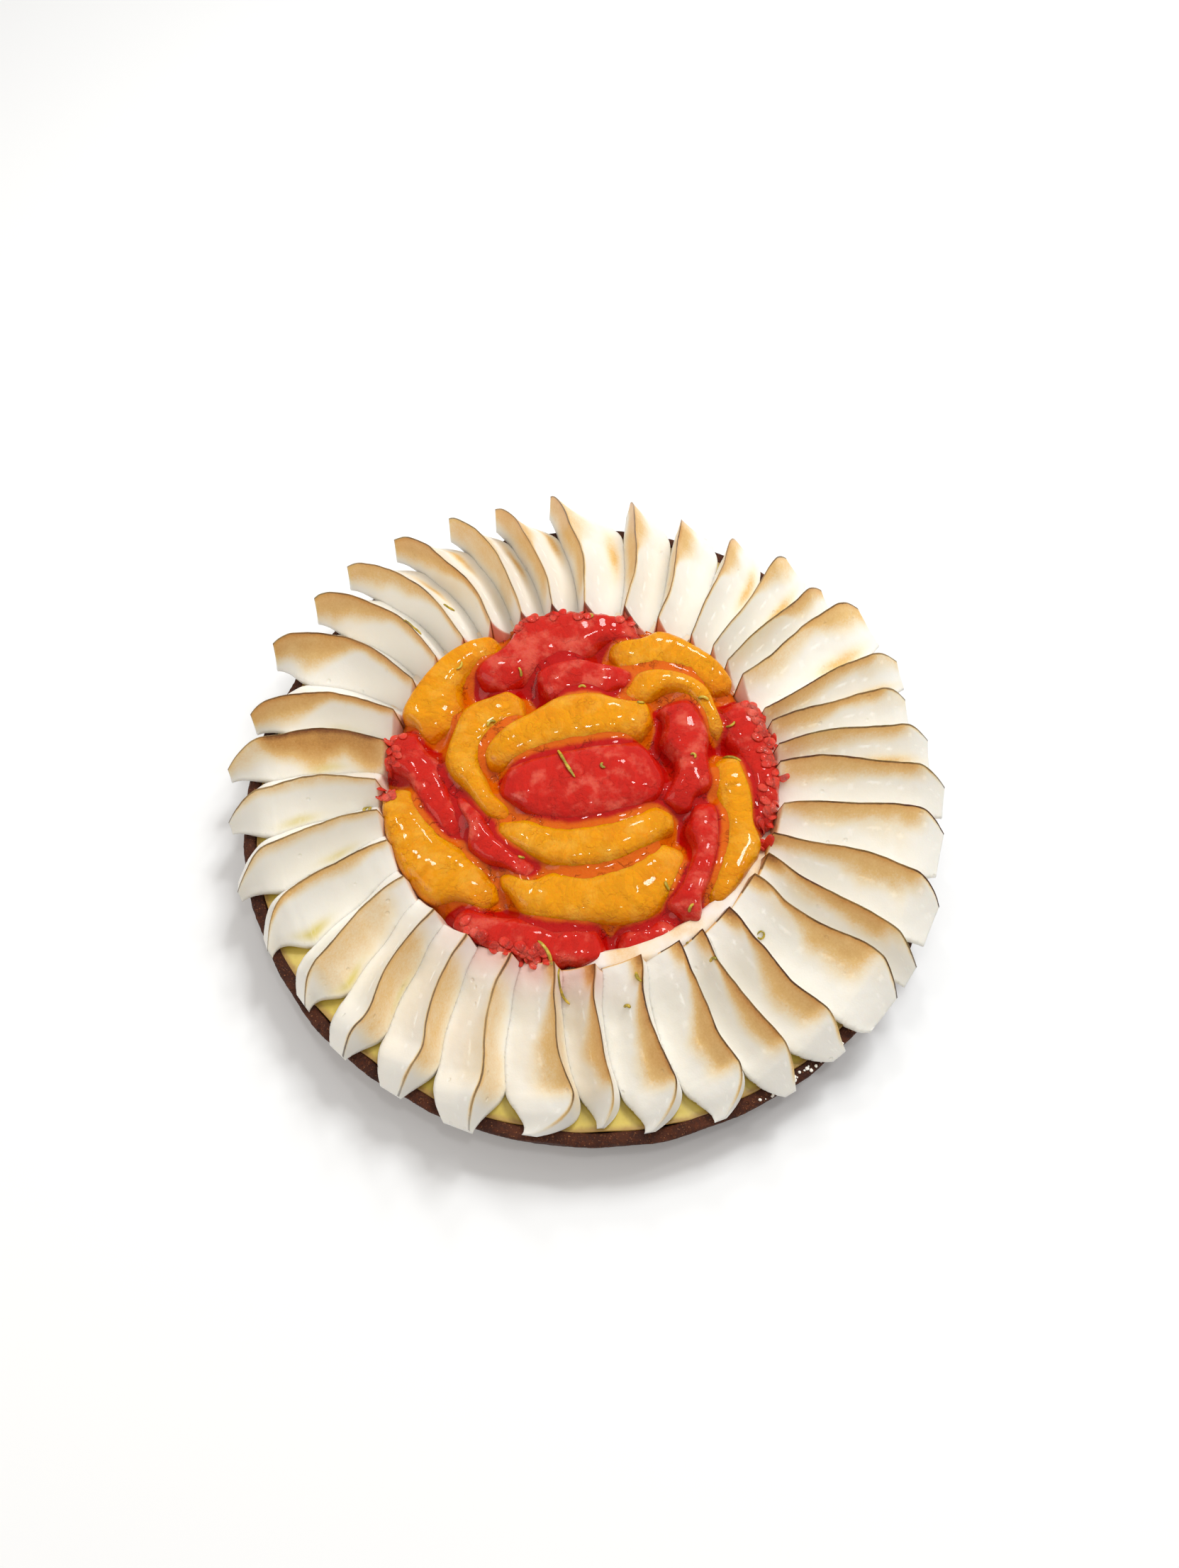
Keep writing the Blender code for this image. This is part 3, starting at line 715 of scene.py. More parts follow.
@dataclass(frozen=True)
class GlazeFinish(Look):
    """The clear jelly that has run between the segments, tinted by the fruit and painted darker than the
    flesh as shade in the grooves.
    """

    SETTINGS = WET | {
        "Subsurface Weight": 0.3,
        "Subsurface Radius": (1.0, 0.3, 0.1),
        "Roughness": 0.3,
        "Coat Roughness": 0.02,
    }
    name: str = "glaze_with_groove_shade"
    # Painted shade: both colours are darker than the flesh beside them, so the grooves between segments
    # read as shaded.
    orange: Colour = srgb(210, 94, 0)
    red: Colour = srgb(178, 8, 3)

    def dress(self, finish: Finish, sheet: NodeSheet) -> None:
        """Adds the nodes, which read the attribute red."""
        uneven = sheet.times(sheet.drift(sheet.place(), 4.0), 0.5)
        share = sheet.ramp(sheet.plus(sheet.read("red"), uneven), 0.2, 0.8)
        finish.feed("Base Color", sheet.blend(share, self.orange, self.red))
        film = finish.group(finish.effects.wet, Wrinkle=0.60, Crease=0.8)
        finish.feed("Normal", finish.raise_by(film["Height"], 0.75))


@dataclass(frozen=True)
class CurdFinish(Look):
    """Set lemon curd with a soft sheen, darker and browner where it meets the case."""

    SETTINGS = {
        "Subsurface Weight": 0.25,
        "Subsurface Radius": (1.0, 0.7, 0.2),
        "Subsurface Scale": 0.002,
        "Coat Weight": 0.25,
        "Coat Roughness": 0.2,
    }
    name: str = "lemon_curd"
    yellow: Colour = srgb(222, 198, 98)
    deep: Colour = srgb(194, 168, 62)
    baked: Colour = srgb(158, 116, 62)

    def dress(self, finish: Finish, sheet: NodeSheet) -> None:
        """Adds the nodes, which read the attribute edge."""
        place = sheet.place()
        cloud = sheet.noise(place, 14.0, 4.0, 0.55)
        colour = sheet.blend(sheet.ramp(cloud, 0.35, 0.65), self.yellow, self.deep)
        wander = sheet.times(sheet.drift(place, 3.0), 2.2)
        rim = sheet.ramp(sheet.plus(sheet.read("edge"), wander), 0.2, 2.6, 1.0, 0.0)
        finish.feed("Base Color", sheet.blend(sheet.times(rim, 0.8), colour, self.baked))
        finish.feed("Roughness", sheet.ramp(cloud, 0.3, 0.7, 0.30, 0.42))
        pores = finish.group(finish.effects.pores, Spacing=260.0, Width=0.14)
        finish.feed("Normal", finish.sink(pores["Pit"], 0.12))


@dataclass(frozen=True)
class CrustFinish(Look):
    """Dark chocolate shortcrust: matt, crumbly, with paler crumbs along its broken edges."""

    SETTINGS = {"Specular IOR Level": 0.3}
    name: str = "baked_crust"
    dark: Colour = srgb(54, 24, 14)
    warm: Colour = srgb(86, 44, 26)
    crumb: Colour = srgb(158, 104, 66)

    def dress(self, finish: Finish, sheet: NodeSheet) -> None:
        """Adds the nodes, which read the attribute worn."""
        place = sheet.place()
        grain = sheet.noise(place, 1.3, 5.0, 0.65)
        broad = sheet.noise(place, 8.0)
        mottle = sheet.plus(sheet.times(grain, 0.7), sheet.times(broad, 0.5))
        colour = sheet.blend(sheet.ramp(mottle, 0.45, 0.80), self.dark, self.warm)
        specks = sheet.ramp(sheet.noise(place, 0.55, 3.0, 0.7), 0.60, 0.70)
        worn = sheet.times(specks, sheet.read("worn"), True)
        finish.feed("Base Color", sheet.blend(worn, colour, self.crumb))
        finish.feed("Roughness", sheet.ramp(grain, 0.3, 0.7, 0.62, 0.85))
        pores = finish.group(finish.effects.pores, Spacing=420.0, Width=0.30)
        finish.feed("Normal", finish.raise_by(grain, 0.55, finish.sink(pores["Pit"], 0.35)))


@dataclass(frozen=True)
class PlainFinish(Look):
    """A small thing's finish: two colours mottled together, with a little gloss."""

    first: Colour
    second: Colour
    roughness: float
    coat: float = 0.0

    def dress(self, finish: Finish, sheet: NodeSheet) -> None:
        """Adds the nodes of the mottling and a fine grain."""
        finish.feed("Roughness", self.roughness)
        finish.feed("Coat Weight", self.coat)
        share = sheet.ramp(sheet.noise(sheet.place(), 2.4, 3.0, 0.6), 0.38, 0.62)
        finish.feed("Base Color", sheet.blend(share, self.first, self.second))
        pores = finish.group(finish.effects.pores, Spacing=900.0, Width=0.3)
        finish.feed("Normal", finish.raise_by(pores["Grain"], 0.12))


# Flesh colours with painted light: deep for the shaded lower sides, pale for the lit crown, and cloud for
# pale patches that are partly painted sheen. The orange's deep colour is kept bright and saturated as a
# painted glow of light through the flesh.
ORANGE_FLESH = CitrusFinish(
    name="orange_flesh",
    deep=srgb(236, 104, 0),
    flesh=srgb(216, 120, 0),
    pale=srgb(222, 146, 0),
    cloud=srgb(236, 184, 70),
    cloud_and_sheen_share=0.35,
)
GRAPEFRUIT_FLESH = CitrusFinish(
    name="grapefruit_flesh",
    deep=srgb(196, 4, 2),
    flesh=srgb(190, 10, 4),
    pale=srgb(196, 30, 17),
    cloud=srgb(218, 94, 74),
    cloud_and_sheen_share=0.80,
)
TORN_FLESH = CitrusFinish(
    name="torn_grapefruit",
    deep=srgb(206, 30, 20),
    flesh=srgb(214, 50, 36),
    pale=srgb(222, 70, 54),
    cloud=srgb(236, 136, 116),
    cloud_and_sheen_share=0.5,
)
ZEST = PlainFinish("citrus_zest", srgb(142, 126, 24), srgb(204, 172, 48), roughness=0.4, coat=0.4)
DRY_MERINGUE = PlainFinish("dry_meringue", srgb(250, 247, 240), srgb(240, 232, 216), roughness=0.6)
LOOSE_CRUMB = PlainFinish("loose_crumb", srgb(120, 72, 44), srgb(86, 44, 26), roughness=0.8)


class Wave:
    """A smooth, uneven line round the tart: a sum of sine waves with seeded phases."""

    def __init__(self, draw: random.Random, counts: Sequence[int]) -> None:
        """Draws the phases.

        Args:
            draw: The seeded draw.
            counts: How many times each sine repeats round the tart.
        """
        self.parts = [(count, draw.uniform(0.0, 2.0 * math.pi)) for count in counts]

    def at(self, angle: Array) -> Array:
        """Gives the line's height at these angles in degrees."""
        turned = np.radians(angle)
        total = sum(np.sin(count * turned + phase) for count, phase in self.parts)
        return total / math.sqrt(len(self.parts))


@dataclass
class Case:
    """The baked case: a floor and a wall with a wavy, crumbly rim."""

    draw: random.Random
    bevel: float = 1.0
    rounding: float = 0.9
    chamfer: float = 0.45
    chip_depth: float = 0.5
    sides: int = 720
    outer_wave: Wave = field(init=False)
    inner_wave: Wave = field(init=False)
    top_wave: Wave = field(init=False)

    def __post_init__(self) -> None:
        """Draws the rim's waves."""
        self.outer_wave = Wave(self.draw, (3, 7, 13, 31))
        self.inner_wave = Wave(self.draw, (5, 11, 19, 37))
        self.top_wave = Wave(self.draw, (4, 9, 23, 41))

    def outline(self) -> list[tuple[float, float]]:
        """Gives the shell's outline: from the underside up the wall, over the rim, down to the floor."""
        foot = [(FOOT_RADIUS * 0.5, 0.0), (FOOT_RADIUS - self.bevel, 0.0), (FOOT_RADIUS, self.bevel)]
        top = CASE_HEIGHT - 0.7 * RIM_WAVE
        outer = [
            (mix(FOOT_RADIUS, RIM_RADIUS, share), mix(self.bevel, top - self.rounding, share))
            for share in np.linspace(0.06, 1.0, 16)
        ]
        arc = [
            (
                RIM_RADIUS - self.rounding * (1.0 - math.cos(turn)),
                top - self.rounding * (1.0 - math.sin(turn)),
            )
            for turn in map(math.radians, (30, 60, 90))
        ]
        inner_top = RIM_RADIUS - WALL
        flat = [
            (mix(RIM_RADIUS - self.rounding, inner_top + self.chamfer, share), top)
            for share in (0.25, 0.5, 0.75, 1.0)
        ]
        inner = [
            (mix(inner_top, FOOT_RADIUS - WALL, share), mix(top - self.chamfer, FLOOR, share))
            for share in np.linspace(0.0, 1.0, 8)
        ]
        return [*foot, *outer, *arc, *flat, *inner, (FOOT_RADIUS * 0.5, FLOOR)]

    def build(self, material: Material) -> None:
        """Turns the outline, then makes the rim wavy and the surface crumbly.

        Args:
            material: The crust's finish.
        """
        obj = turned_form("crust_baked", self.outline(), self.sides, ring=False)
        points = read_points(obj) / MM
        radius, angle = from_axis(points)
        level = points[:, 2]
        share = np.clip(level / CASE_HEIGHT, 0.0, 1.0)
        outside = smooth_step(radius, FOOT_RADIUS - WALL + 1.5, FOOT_RADIUS - 0.5)
        wave = mix(self.inner_wave.at(angle), self.outer_wave.at(angle), outside)
        on_wall = smooth_step(radius, 90.0, 110.0)
        moved = radius + RIM_WAVE * share * wave * on_wall
        lift = smooth_step(level, FLOOR + 4.0, CASE_HEIGHT - 1.0)
        height = level + 0.7 * RIM_WAVE * lift * self.top_wave.at(angle)
        noise = SmoothNoise(Seed.CRUST)
        crumb = 0.16 * noise.rough(points, 3.4) + 0.10 * noise.at(points, 0.9)
        chip = -self.chip_depth * smooth_step(noise.at(points + 90.0, 5.0), 0.45, 0.85)
        top = smooth_step(level, CASE_HEIGHT - 3.0, CASE_HEIGHT - 1.0)
        standing = smooth_step(level, 0.0, 1.0) * on_wall
        push = np.where(outside > 0.5, 1.0, -1.0)
        moved += standing * (crumb - 0.10) * push + chip * top * push * 0.6
        height += top * (crumb - 0.12 + chip * 0.5)
        moved = np.minimum(moved, RIM_RADIUS + RIM_WAVE)
        turned = polar(moved, angle)
        turned[radius < ON_AXIS] = 0.0
        write_points(obj, np.column_stack([turned, height]) * MM)
        paint(obj, "worn", np.clip(0.25 + 0.75 * top + chip * -0.8, 0.0, 1.0))
        face_outward(obj)
        attach(obj, material, ["crust"])


@dataclass
class Curd:
    """The set lemon curd, which climbs a little where it meets the case."""

    case: Case
    gap: float = 0.12
    climb: float = 0.42
    climb_width: float = 1.3
    sides: int = 360

    def build(self, material: Material) -> None:
        """Turns the curd and fits its edge to the case's wavy wall.

        Args:
            material: The curd's finish.
        """
        edge = RIM_RADIUS - WALL - self.gap
        foot = FOOT_RADIUS - WALL - self.gap
        bottom = FLOOR + 0.3
        wall = [(mix(foot, edge, share), mix(bottom, CURD_TOP, share)) for share in (0.3, 0.6, 0.9, 1.0)]
        shore = [
            (edge - back, CURD_TOP + self.climb * math.exp(-back / self.climb_width))
            for back in (0.25, 0.7, 1.4, 2.4, 4.0)
        ]
        flat = [(radius, CURD_TOP) for radius in np.linspace(edge - 6.0, 58.0, 18)]
        outline = [(foot * 0.5, bottom), (foot, bottom), *wall, *shore, *flat]
        obj = turned_form("curd_set", outline, self.sides, ring=False)
        points = read_points(obj) / MM
        radius, angle = from_axis(points)
        share = np.clip(points[:, 2] / CASE_HEIGHT, 0.0, 1.0)
        near = smooth_step(radius, 100.0, 113.0)
        turned = polar(radius + RIM_WAVE * share * self.case.inner_wave.at(angle) * near, angle)
        turned[radius < ON_AXIS] = 0.0
        up = points[:, 2] > CURD_TOP - 0.3
        uneven = 0.22 * SmoothNoise(Seed.CURD).rough(points, 11.0, 2)
        height = points[:, 2] + np.where(up, uneven, 0.0)
        write_points(obj, np.column_stack([turned, height]) * MM)
        paint(obj, "edge", np.where(up, edge - radius, 0.0))
        face_outward(obj)
        attach(obj, material, ["curd"])


@dataclass(frozen=True)
class Petal:
    """One piped petal: its ridge's angle near the fruit and near the rim, and the radius of its tip."""

    inner_angle: float
    outer_angle: float
    reach: float


@dataclass(frozen=True)
class PetalEnd:
    """A petal's outer end: where its ridge starts to fall, how suddenly, and what is left at the tip."""

    plunge: float
    power: float
    crest_left: float
    width_left: float
    steep_left: float
    roundness: float
    sway: float = 0.0

    def toward(self, other: PetalEnd, share: float) -> PetalEnd:
        """Gives the form this share of the way to the other one."""
        pairs = zip(astuple(self), astuple(other), strict=True)
        return PetalEnd(*(mix(own, wanted, share) for own, wanted in pairs))


BLUNT_END = PetalEnd(
    plunge=0.82, power=1.8, crest_left=0.55, width_left=0.70, steep_left=0.40, roundness=0.20, sway=0.16
)
POINTED_END = PetalEnd(
    plunge=0.78, power=1.5, crest_left=0.10, width_left=0.26, steep_left=0.40, roundness=0.70
)
LOBED_END = PetalEnd(
    plunge=0.82, power=1.6, crest_left=0.20, width_left=0.46, steep_left=0.12, roundness=0.75
)
SHARP_END = PetalEnd(
    plunge=0.76, power=1.5, crest_left=0.35, width_left=0.42, steep_left=0.30, roundness=0.30
)
HIGH_END = PetalEnd(
    plunge=0.90, power=2.2, crest_left=0.82, width_left=0.45, steep_left=0.40, roundness=0.10, sway=0.10
)

PETALS = (
    Petal(91, 93, 125),
    Petal(101, 103, 123),
    Petal(111, 111, 125),
    Petal(120, 120, 127),
    Petal(130, 129, 128),
    Petal(140, 138, 126),
    Petal(150, 148, 127),
    Petal(160, 162, 122),
    Petal(170, 171, 126),
    Petal(183, 182, 124),
    Petal(192, 194, 123),
    Petal(201, 204, 120),
    Petal(212, 217, 119),
    Petal(225, 230, 121),
    Petal(236, 241, 121),
    Petal(249, 252, 122),
    Petal(261, 267, 119),
    Petal(272, 274, 115),
    Petal(284, 284, 118),
    Petal(296, 295, 120),
    Petal(303, 303, 122),
    Petal(313, 312, 122),
    Petal(325, 325, 124),
    Petal(333, 331, 124),
    Petal(340, 342, 124),
    Petal(350, 354, 122),
    Petal(364, 363, 123),
    Petal(370, 371, 121),
    Petal(378, 379, 119),
    Petal(383, 386, 124),
    Petal(396, 398, 126),
    Petal(403, 404, 121),
    Petal(409, 412, 124),
    Petal(417, 421, 121),
    Petal(428, 431, 122),
    Petal(439, 440, 125),
)


# How much wider the steep faces are, in which direction and over what width.
WIDE_STEEP_FACES = (
    (0.38, 172.0, 62.0),
    (0.11, 232.0, 44.0),
    (0.04, 90.0, 40.0),
)


@dataclass(frozen=True)
class TorchZone:
    """Where the torch has browned one face of the petals round one direction, and how far down it.

    The reaches are shares of the face, near the fruit and near the rim. The rest are shares of the length.
    """

    centre: float
    width: float
    steep: bool
    heat: float
    inner_reach: float
    outer_reach: float
    widens: tuple[float, float]
    since: float
    until: float


TORCH_ZONES = (
    TorchZone(305.0, 62.0, False, 0.52, 0.12, 0.56, (0.15, 0.62), 0.0, 0.79),
    TorchZone(5.0, 48.0, False, 0.46, 0.42, 0.30, (0.25, 0.6), 0.0, 0.86),
    TorchZone(70.0, 60.0, False, 0.40, 0.05, 0.50, (0.45, 0.85), 0.1, 1.1),
    TorchZone(90.0, 36.0, True, 0.42, 0.90, 0.90, (0.2, 0.6), 0.2, 1.1),
    TorchZone(140.0, 42.0, True, 0.50, 0.22, 0.85, (0.40, 0.90), 0.0, 1.1),
    TorchZone(171.0, 9.0, True, 0.70, 0.90, 0.50, (0.4, 0.8), 0.0, 0.80),
    TorchZone(190.0, 38.0, True, 0.30, 0.24, 0.20, (0.2, 0.8), 0.0, 0.92),
    TorchZone(240.0, 36.0, True, 0.38, 0.80, 1.10, (0.05, 0.3), 0.15, 0.84),
)


class PlanLine:
    """A curved line seen from above, through two angles at the inner and the outer gauge radius.

    At the sides it is a plain bow. At the front it swings in an S that bulges anticlockwise near its end.
    """

    BOW = 1.2
    BOW_SHIFT = -0.4
    BOW_TOWARD = 335.0
    FRONT_BEND = 1.2
    FRONT_ANGLE = 272.0
    FRONT_WIDTH = 84.0
    BULGE = 1.35
    BULGE_AT = 1.12
    BULGE_WIDTH = 0.28

    def __init__(self, inner_angle: float, outer_angle: float) -> None:
        """Finds the line's two points and how strongly it bends.

        Args:
            inner_angle: Its angle at the inner gauge radius.
            outer_angle: Its angle at the outer gauge radius.
        """
        self.inner = polar(GAUGE_INNER, inner_angle)
        self.outer = polar(GAUGE_OUTER, outer_angle)
        at_front = near_angle(outer_angle, self.FRONT_ANGLE, self.FRONT_WIDTH)
        self.bow = swing(outer_angle, self.BOW_SHIFT, self.BOW, self.BOW_TOWARD) * (1.0 - at_front)
        self.front = self.FRONT_BEND * at_front

    def at(self, radius: Array) -> Array:
        """Gives the line's points at about these radii."""
        share = (radius - GAUGE_INNER) / (GAUGE_OUTER - GAUGE_INNER)
        bulge = self.BULGE * bump_at(share, self.BULGE_AT, self.BULGE_WIDTH)
        turn = self.bow * 4.0 * share * (1.0 - share) + self.front * (bulge - smooth_step(share, 0.0, 0.3))
        straight = mix(self.inner, self.outer, share[..., None])
        cosine, sine = np.cos(np.radians(turn)), np.sin(np.radians(turn))
        x, y = straight[..., 0], straight[..., 1]
        return np.stack([x * cosine - y * sine, x * sine + y * cosine], axis=-1)


class Face(IntEnum):
    """The faces of a petal's wedge."""

    WIDE = 0
    STEEP = 1
    UNDER = 2


@dataclass(frozen=True)
class PetalLines:
    """A petal ring by ring: how far along it is, its width, and where its lines lie and how high.

    The first and the last line are the feet of the wide and the steep face. Places are shares of width.
    """

    along: Array
    width: Array
    first: Array
    ridge: Array
    last: Array
    crest: Array
    valley: Array


@dataclass(frozen=True)
class PetalSkin:
    """What the browning of a petal goes by, point by point."""

    along: Array
    share: Array
    from_ridge: Array
    spots: Array
    is_steep: Array
    is_under: Array


@dataclass
class PetalPiece:
    """One meringue petal: a wide hollow face, a thin charred ridge, a steep face and a drooping lobe."""

    number: int
    petal: Petal
    before: PlanLine
    after: PlanLine
    draw: random.Random
    ridge_height: float = 19.2
    foot_height: float = 4.5
    foot_share: float = -0.055
    lobe_from: float = 0.70
    narrow_from: float = 0.76
    valley: float = 3.6
    overlap: float = 0.12
    rings_along: int = 88
    wide_points: int = 36
    steep_points: int = 22
    start: float = field(init=False)
    height: float = field(init=False)
    tip_share: float = field(init=False)
    phase: float = field(init=False)
    pointed: float = field(init=False)
    lobed: float = field(init=False)
    end: PetalEnd = field(init=False)
    droop: float = field(init=False)
    fill: float = field(init=False)
    noise: SmoothNoise = field(init=False)
    fine: random.Random = field(init=False)

    def __post_init__(self) -> None:
        """Makes the same draws as the solid, in the same order, and finer ones from a draw of its own."""
        angle = self.petal.outer_angle
        self.start = petals_inner_radius(self.petal.inner_angle) + self.draw.uniform(0.0, 1.4)
        self.height = self.ridge_height + self.draw.uniform(-1.0, 1.0)
        self.pointed = float(near_angle(angle, 287.0, 44.0))
        self.lobed = float(near_angle(angle, 231.0, 44.0)) * (1.0 - self.pointed)
        high = float(near_angle(angle, 130.0, 62.0))
        sharp = float(near_angle(angle, 194.0, 36.0))
        self.end = BLUNT_END.toward(POINTED_END, self.pointed).toward(LOBED_END, self.lobed)
        self.end = self.end.toward(HIGH_END, high).toward(SHARP_END, sharp)
        self.droop = float(swing(angle, 0.19, 0.08, 330.0))
        self.fill = float(np.clip(0.5 - 1.2 * math.sin(math.radians(angle)), 0.0, 1.0))
        at_front = float(near_angle(angle, 281.0, 24.0))
        self.tip_share = self.draw.uniform(0.40, 0.50) + 0.42 * (1.0 - at_front)
        self.phase = self.draw.uniform(0.0, 2.0 * math.pi)
        self.noise = SmoothNoise(Seed.PETAL_NOISE + self.number)
        self.fine = random.Random(Seed.PETAL_TORCH + self.number)

    def stations(self) -> Array:
        """Gives the shares of the petal's length where its rings stand, closer together at both ends."""
        foot = np.linspace(self.foot_share, 0.0, 9)[:-1]
        body = np.linspace(0.0, 1.0, self.rings_along - len(foot))
        body = body - 0.035 * np.sin(2.0 * math.pi * body)
        return np.concatenate([foot, body])[:, None]

    def across(self) -> tuple[Array, Array, Array]:
        """Gives each spoke's face, its share of the way up that face, and its place on the underside.

        Returns:
            The face of each spoke, its share from valley to ridge, and the underside's places as shares
            of the width and of the valley's height.
        """
        wide = 1.0 - (1.0 - np.linspace(0.0, 1.0, self.wide_points)) ** 1.7
        steep = 1.0 - np.linspace(0.0, 1.0, self.steep_points + 1)[1:] ** 1.6
        crossing = [(0.03, 0.0), (0.33, 0.0), (0.67, 0.0), (0.97, 0.0)]
        under = np.array([(0.0, 0.6), (0.0, 0.2), *crossing, (1.0, 0.2), (1.0, 0.6)])
        face = np.repeat([Face.WIDE, Face.STEEP, Face.UNDER], [len(wide), len(steep), len(under)])
        share = np.concatenate([wide, steep, np.zeros(len(under))])
        return face, share, under

    def lobe(self, along: Array) -> Array:
        """Gives how far into its outer lobe the petal is, from 0 to 1 at the tip."""
        return np.clip((along - self.lobe_from) / (1.0 - self.lobe_from), 0.0, 1.0)

    def crest(self, along: Array) -> Array:
        """Gives the ridge's height over the base."""
        height = self.height * (1.0 - self.droop * along * along)
        height = height * (1.0 + 0.035 * np.sin(7.0 * along + self.phase))
        past = np.clip((along - self.end.plunge) / (1.0 - self.end.plunge), 0.0, 1.0)
        body = height * mix(1.0, self.end.crest_left, past**self.end.power)
        rise = np.clip(1.0 - along / self.foot_share, 0.0, 1.0)
        return np.where(along < 0.0, mix(self.foot_height, height, rise**0.85), body)

    def base(self, radius: Array) -> Array:
        """Gives the height of the underside, which lifts clear of the case's rim."""
        share = np.clip((radius - 107.0) / 6.5, 0.0, 1.0)
        return mix(CURD_TOP + 0.15, CASE_HEIGHT + 1.0, share)

    def lines(self, along: Array, width: Array, ridge: Array) -> PetalLines:
        """Finds where the ridge and the feet of both faces lie, ring by ring.

        Args:
            along: The share of the length at each ring.
            width: The wedge's width in millimetres.
            ridge: The even ridge line's share of that width.

        Returns:
            The petal's lines.
        """
        lobe = self.lobe(along)
        line = np.hstack([along * 60.0, np.full_like(along, self.number), np.zeros_like(along)])
        ridge = ridge + 0.03 * np.sin(9.0 * along + self.phase) * (1.0 - lobe)
        ridge = ridge + 0.016 * self.noise.rough(line, 7.0, 2)[:, None]
        sway = self.end.sway * math.cos(math.radians(self.petal.outer_angle))
        tip = mix(mix(ridge, self.tip_share, self.pointed), 0.72, self.lobed) - sway
        ridge = mix(ridge, tip, lobe**3)
        narrow = np.clip((along - self.narrow_from) / (1.0 - self.narrow_from), 0.0, 1.0)
        spread = mix(1.0, self.end.width_left, narrow**1.7)
        margin = -self.overlap / width
        ragged = 0.035 * self.noise.rough(line + 20.0, 5.0)[:, None] * lobe
        first = mix(ridge, margin, np.clip(spread + ragged, 0.03, 1.0))
        last = mix(ridge, 1.0 - margin, spread * mix(1.0, self.end.steep_left, lobe))
        crest = self.crest(along) + 0.28 * self.noise.rough(line + 50.0, 4.0)[:, None] * (along > 0)
        valley = np.minimum(self.valley, 0.3 * crest) * mix(1.0, 0.5, lobe)
        valley = mix(valley, 0.62 * crest, self.fill * smooth_step(along, 0.38, 0.0))
        return PetalLines(along, width, first, ridge, last, crest, valley)

    def build(self, material: Material) -> Object:
        """Lays a sphere over the petal's rings, and paints where the torch has caught it.

        Args:
            material: The meringue's finish.

        Returns:
            The finished piece.
        """
        along = self.stations()
        face, share, under = self.across()
        radius = mix(self.start, self.petal.reach, along)
        low = self.before.at(radius[:, 0])
        high = self.after.at(radius[:, 0])
        ridge = PlanLine(self.petal.inner_angle, self.petal.outer_angle).at(radius[:, 0])
        width = np.linalg.norm(high - low, axis=1)[:, None]
        lines = self.lines(along, width, np.linalg.norm(ridge - low, axis=1)[:, None] / width)

        place = np.zeros((len(along), len(face)))
        height = np.zeros_like(place)
        wide = face == Face.WIDE
        s = share[wide][None, :]
        hollow = 0.40 * s + 0.60 * s**2.2
        round_face = np.sin(0.5 * math.pi * s) ** 0.8
        place[:, wide] = mix(lines.first, lines.ridge, s)
        rise = mix(hollow, round_face, self.end.roundness * self.lobe(along))
        height[:, wide] = mix(lines.valley, lines.crest, rise)
        steep = face == Face.STEEP
        s = share[steep][None, :]
        place[:, steep] = mix(lines.last, lines.ridge, s)
        height[:, steep] = mix(lines.valley, lines.crest, 0.55 * s + 0.45 * s * s)
        below = face == Face.UNDER
        place[:, below] = mix(lines.last, lines.first, under[None, :, 0])
        height[:, below] = lines.valley * under[None, :, 1]

        plan = low[:, None, :] + (high - low)[:, None, :] * place[..., None]
        rings = np.concatenate([plan, (self.base(radius) + height)[..., None]], axis=2)
        free = np.where(below, 0.0, 1.0) * smooth_step(share, 0.0, 0.15)
        quiet = 1.0 - smooth_step(share, 0.9, 1.0) * 0.8
        uneven = 0.40 * self.noise.rough(rings, 8.0, 2) + 0.08 * self.noise.at(rings, 2.0)
        rings[..., 2] += (free * quiet)[None, :] * uneven

        name = f"meringue_{self.number:02d}"
        form = SphereForm.lay(name, rings, rings[0].mean(axis=0), rings[-1].mean(axis=0))
        self.paint_heat(form, rings, lines, face, share)
        attach(form.obj, material, [f"petal_{self.number:02d}"])
        return form.obj

    def paint_heat(
        self, form: SphereForm, rings: Array, lines: PetalLines, face: Array, share: Array
    ) -> None:
        """Paints the browning, the charred ridge line, the fruit's stain and the smears of curd.

        Args:
            form: The petal's form.
            rings: Its points in millimetres.
            lines: Its lines.
            face: The face of each spoke.
            share: Each spoke's share of the way up its face.
        """
        drop = lines.crest - lines.valley
        wide_length = np.hypot((lines.ridge - lines.first) * lines.width, drop)
        steep_length = np.hypot((lines.last - lines.ridge) * lines.width, drop)
        is_steep = (face == Face.STEEP)[None, :]
        from_ridge = (1.0 - share[None, :]) * np.where(is_steep, steep_length, wide_length)
        along = lines.along
        line = np.hstack([along * 55.0 + 9.0, along * 0.0, along * 0.0])
        spots = self.noise.rough(line, 12.0)[:, None]
        is_under = (face == Face.UNDER)[None, :]
        skin = PetalSkin(along, share[None, :], from_ridge, spots, is_steep, is_under)
        torch = self.browning(skin)
        soft_end = mix(1.0, smooth_step(along, 0.93, 0.78), self.pointed)
        dark = 0.82 + 0.18 * near_angle(self.petal.outer_angle, 340.0, 90.0)
        scorch = dark * soft_end * (0.86 + 0.30 * spots) * np.ones_like(torch)
        form.paint("torch", np.clip(torch, 0.0, 1.0))
        form.paint("ridge", self.char_line(skin), FAR_FROM_RIDGE, FAR_FROM_RIDGE)
        form.paint("scorch", np.clip(scorch, 0.0, 1.0))
        form.paint("stain", self.stain(rings, along))
        form.paint("curd", self.curd_smear(skin))

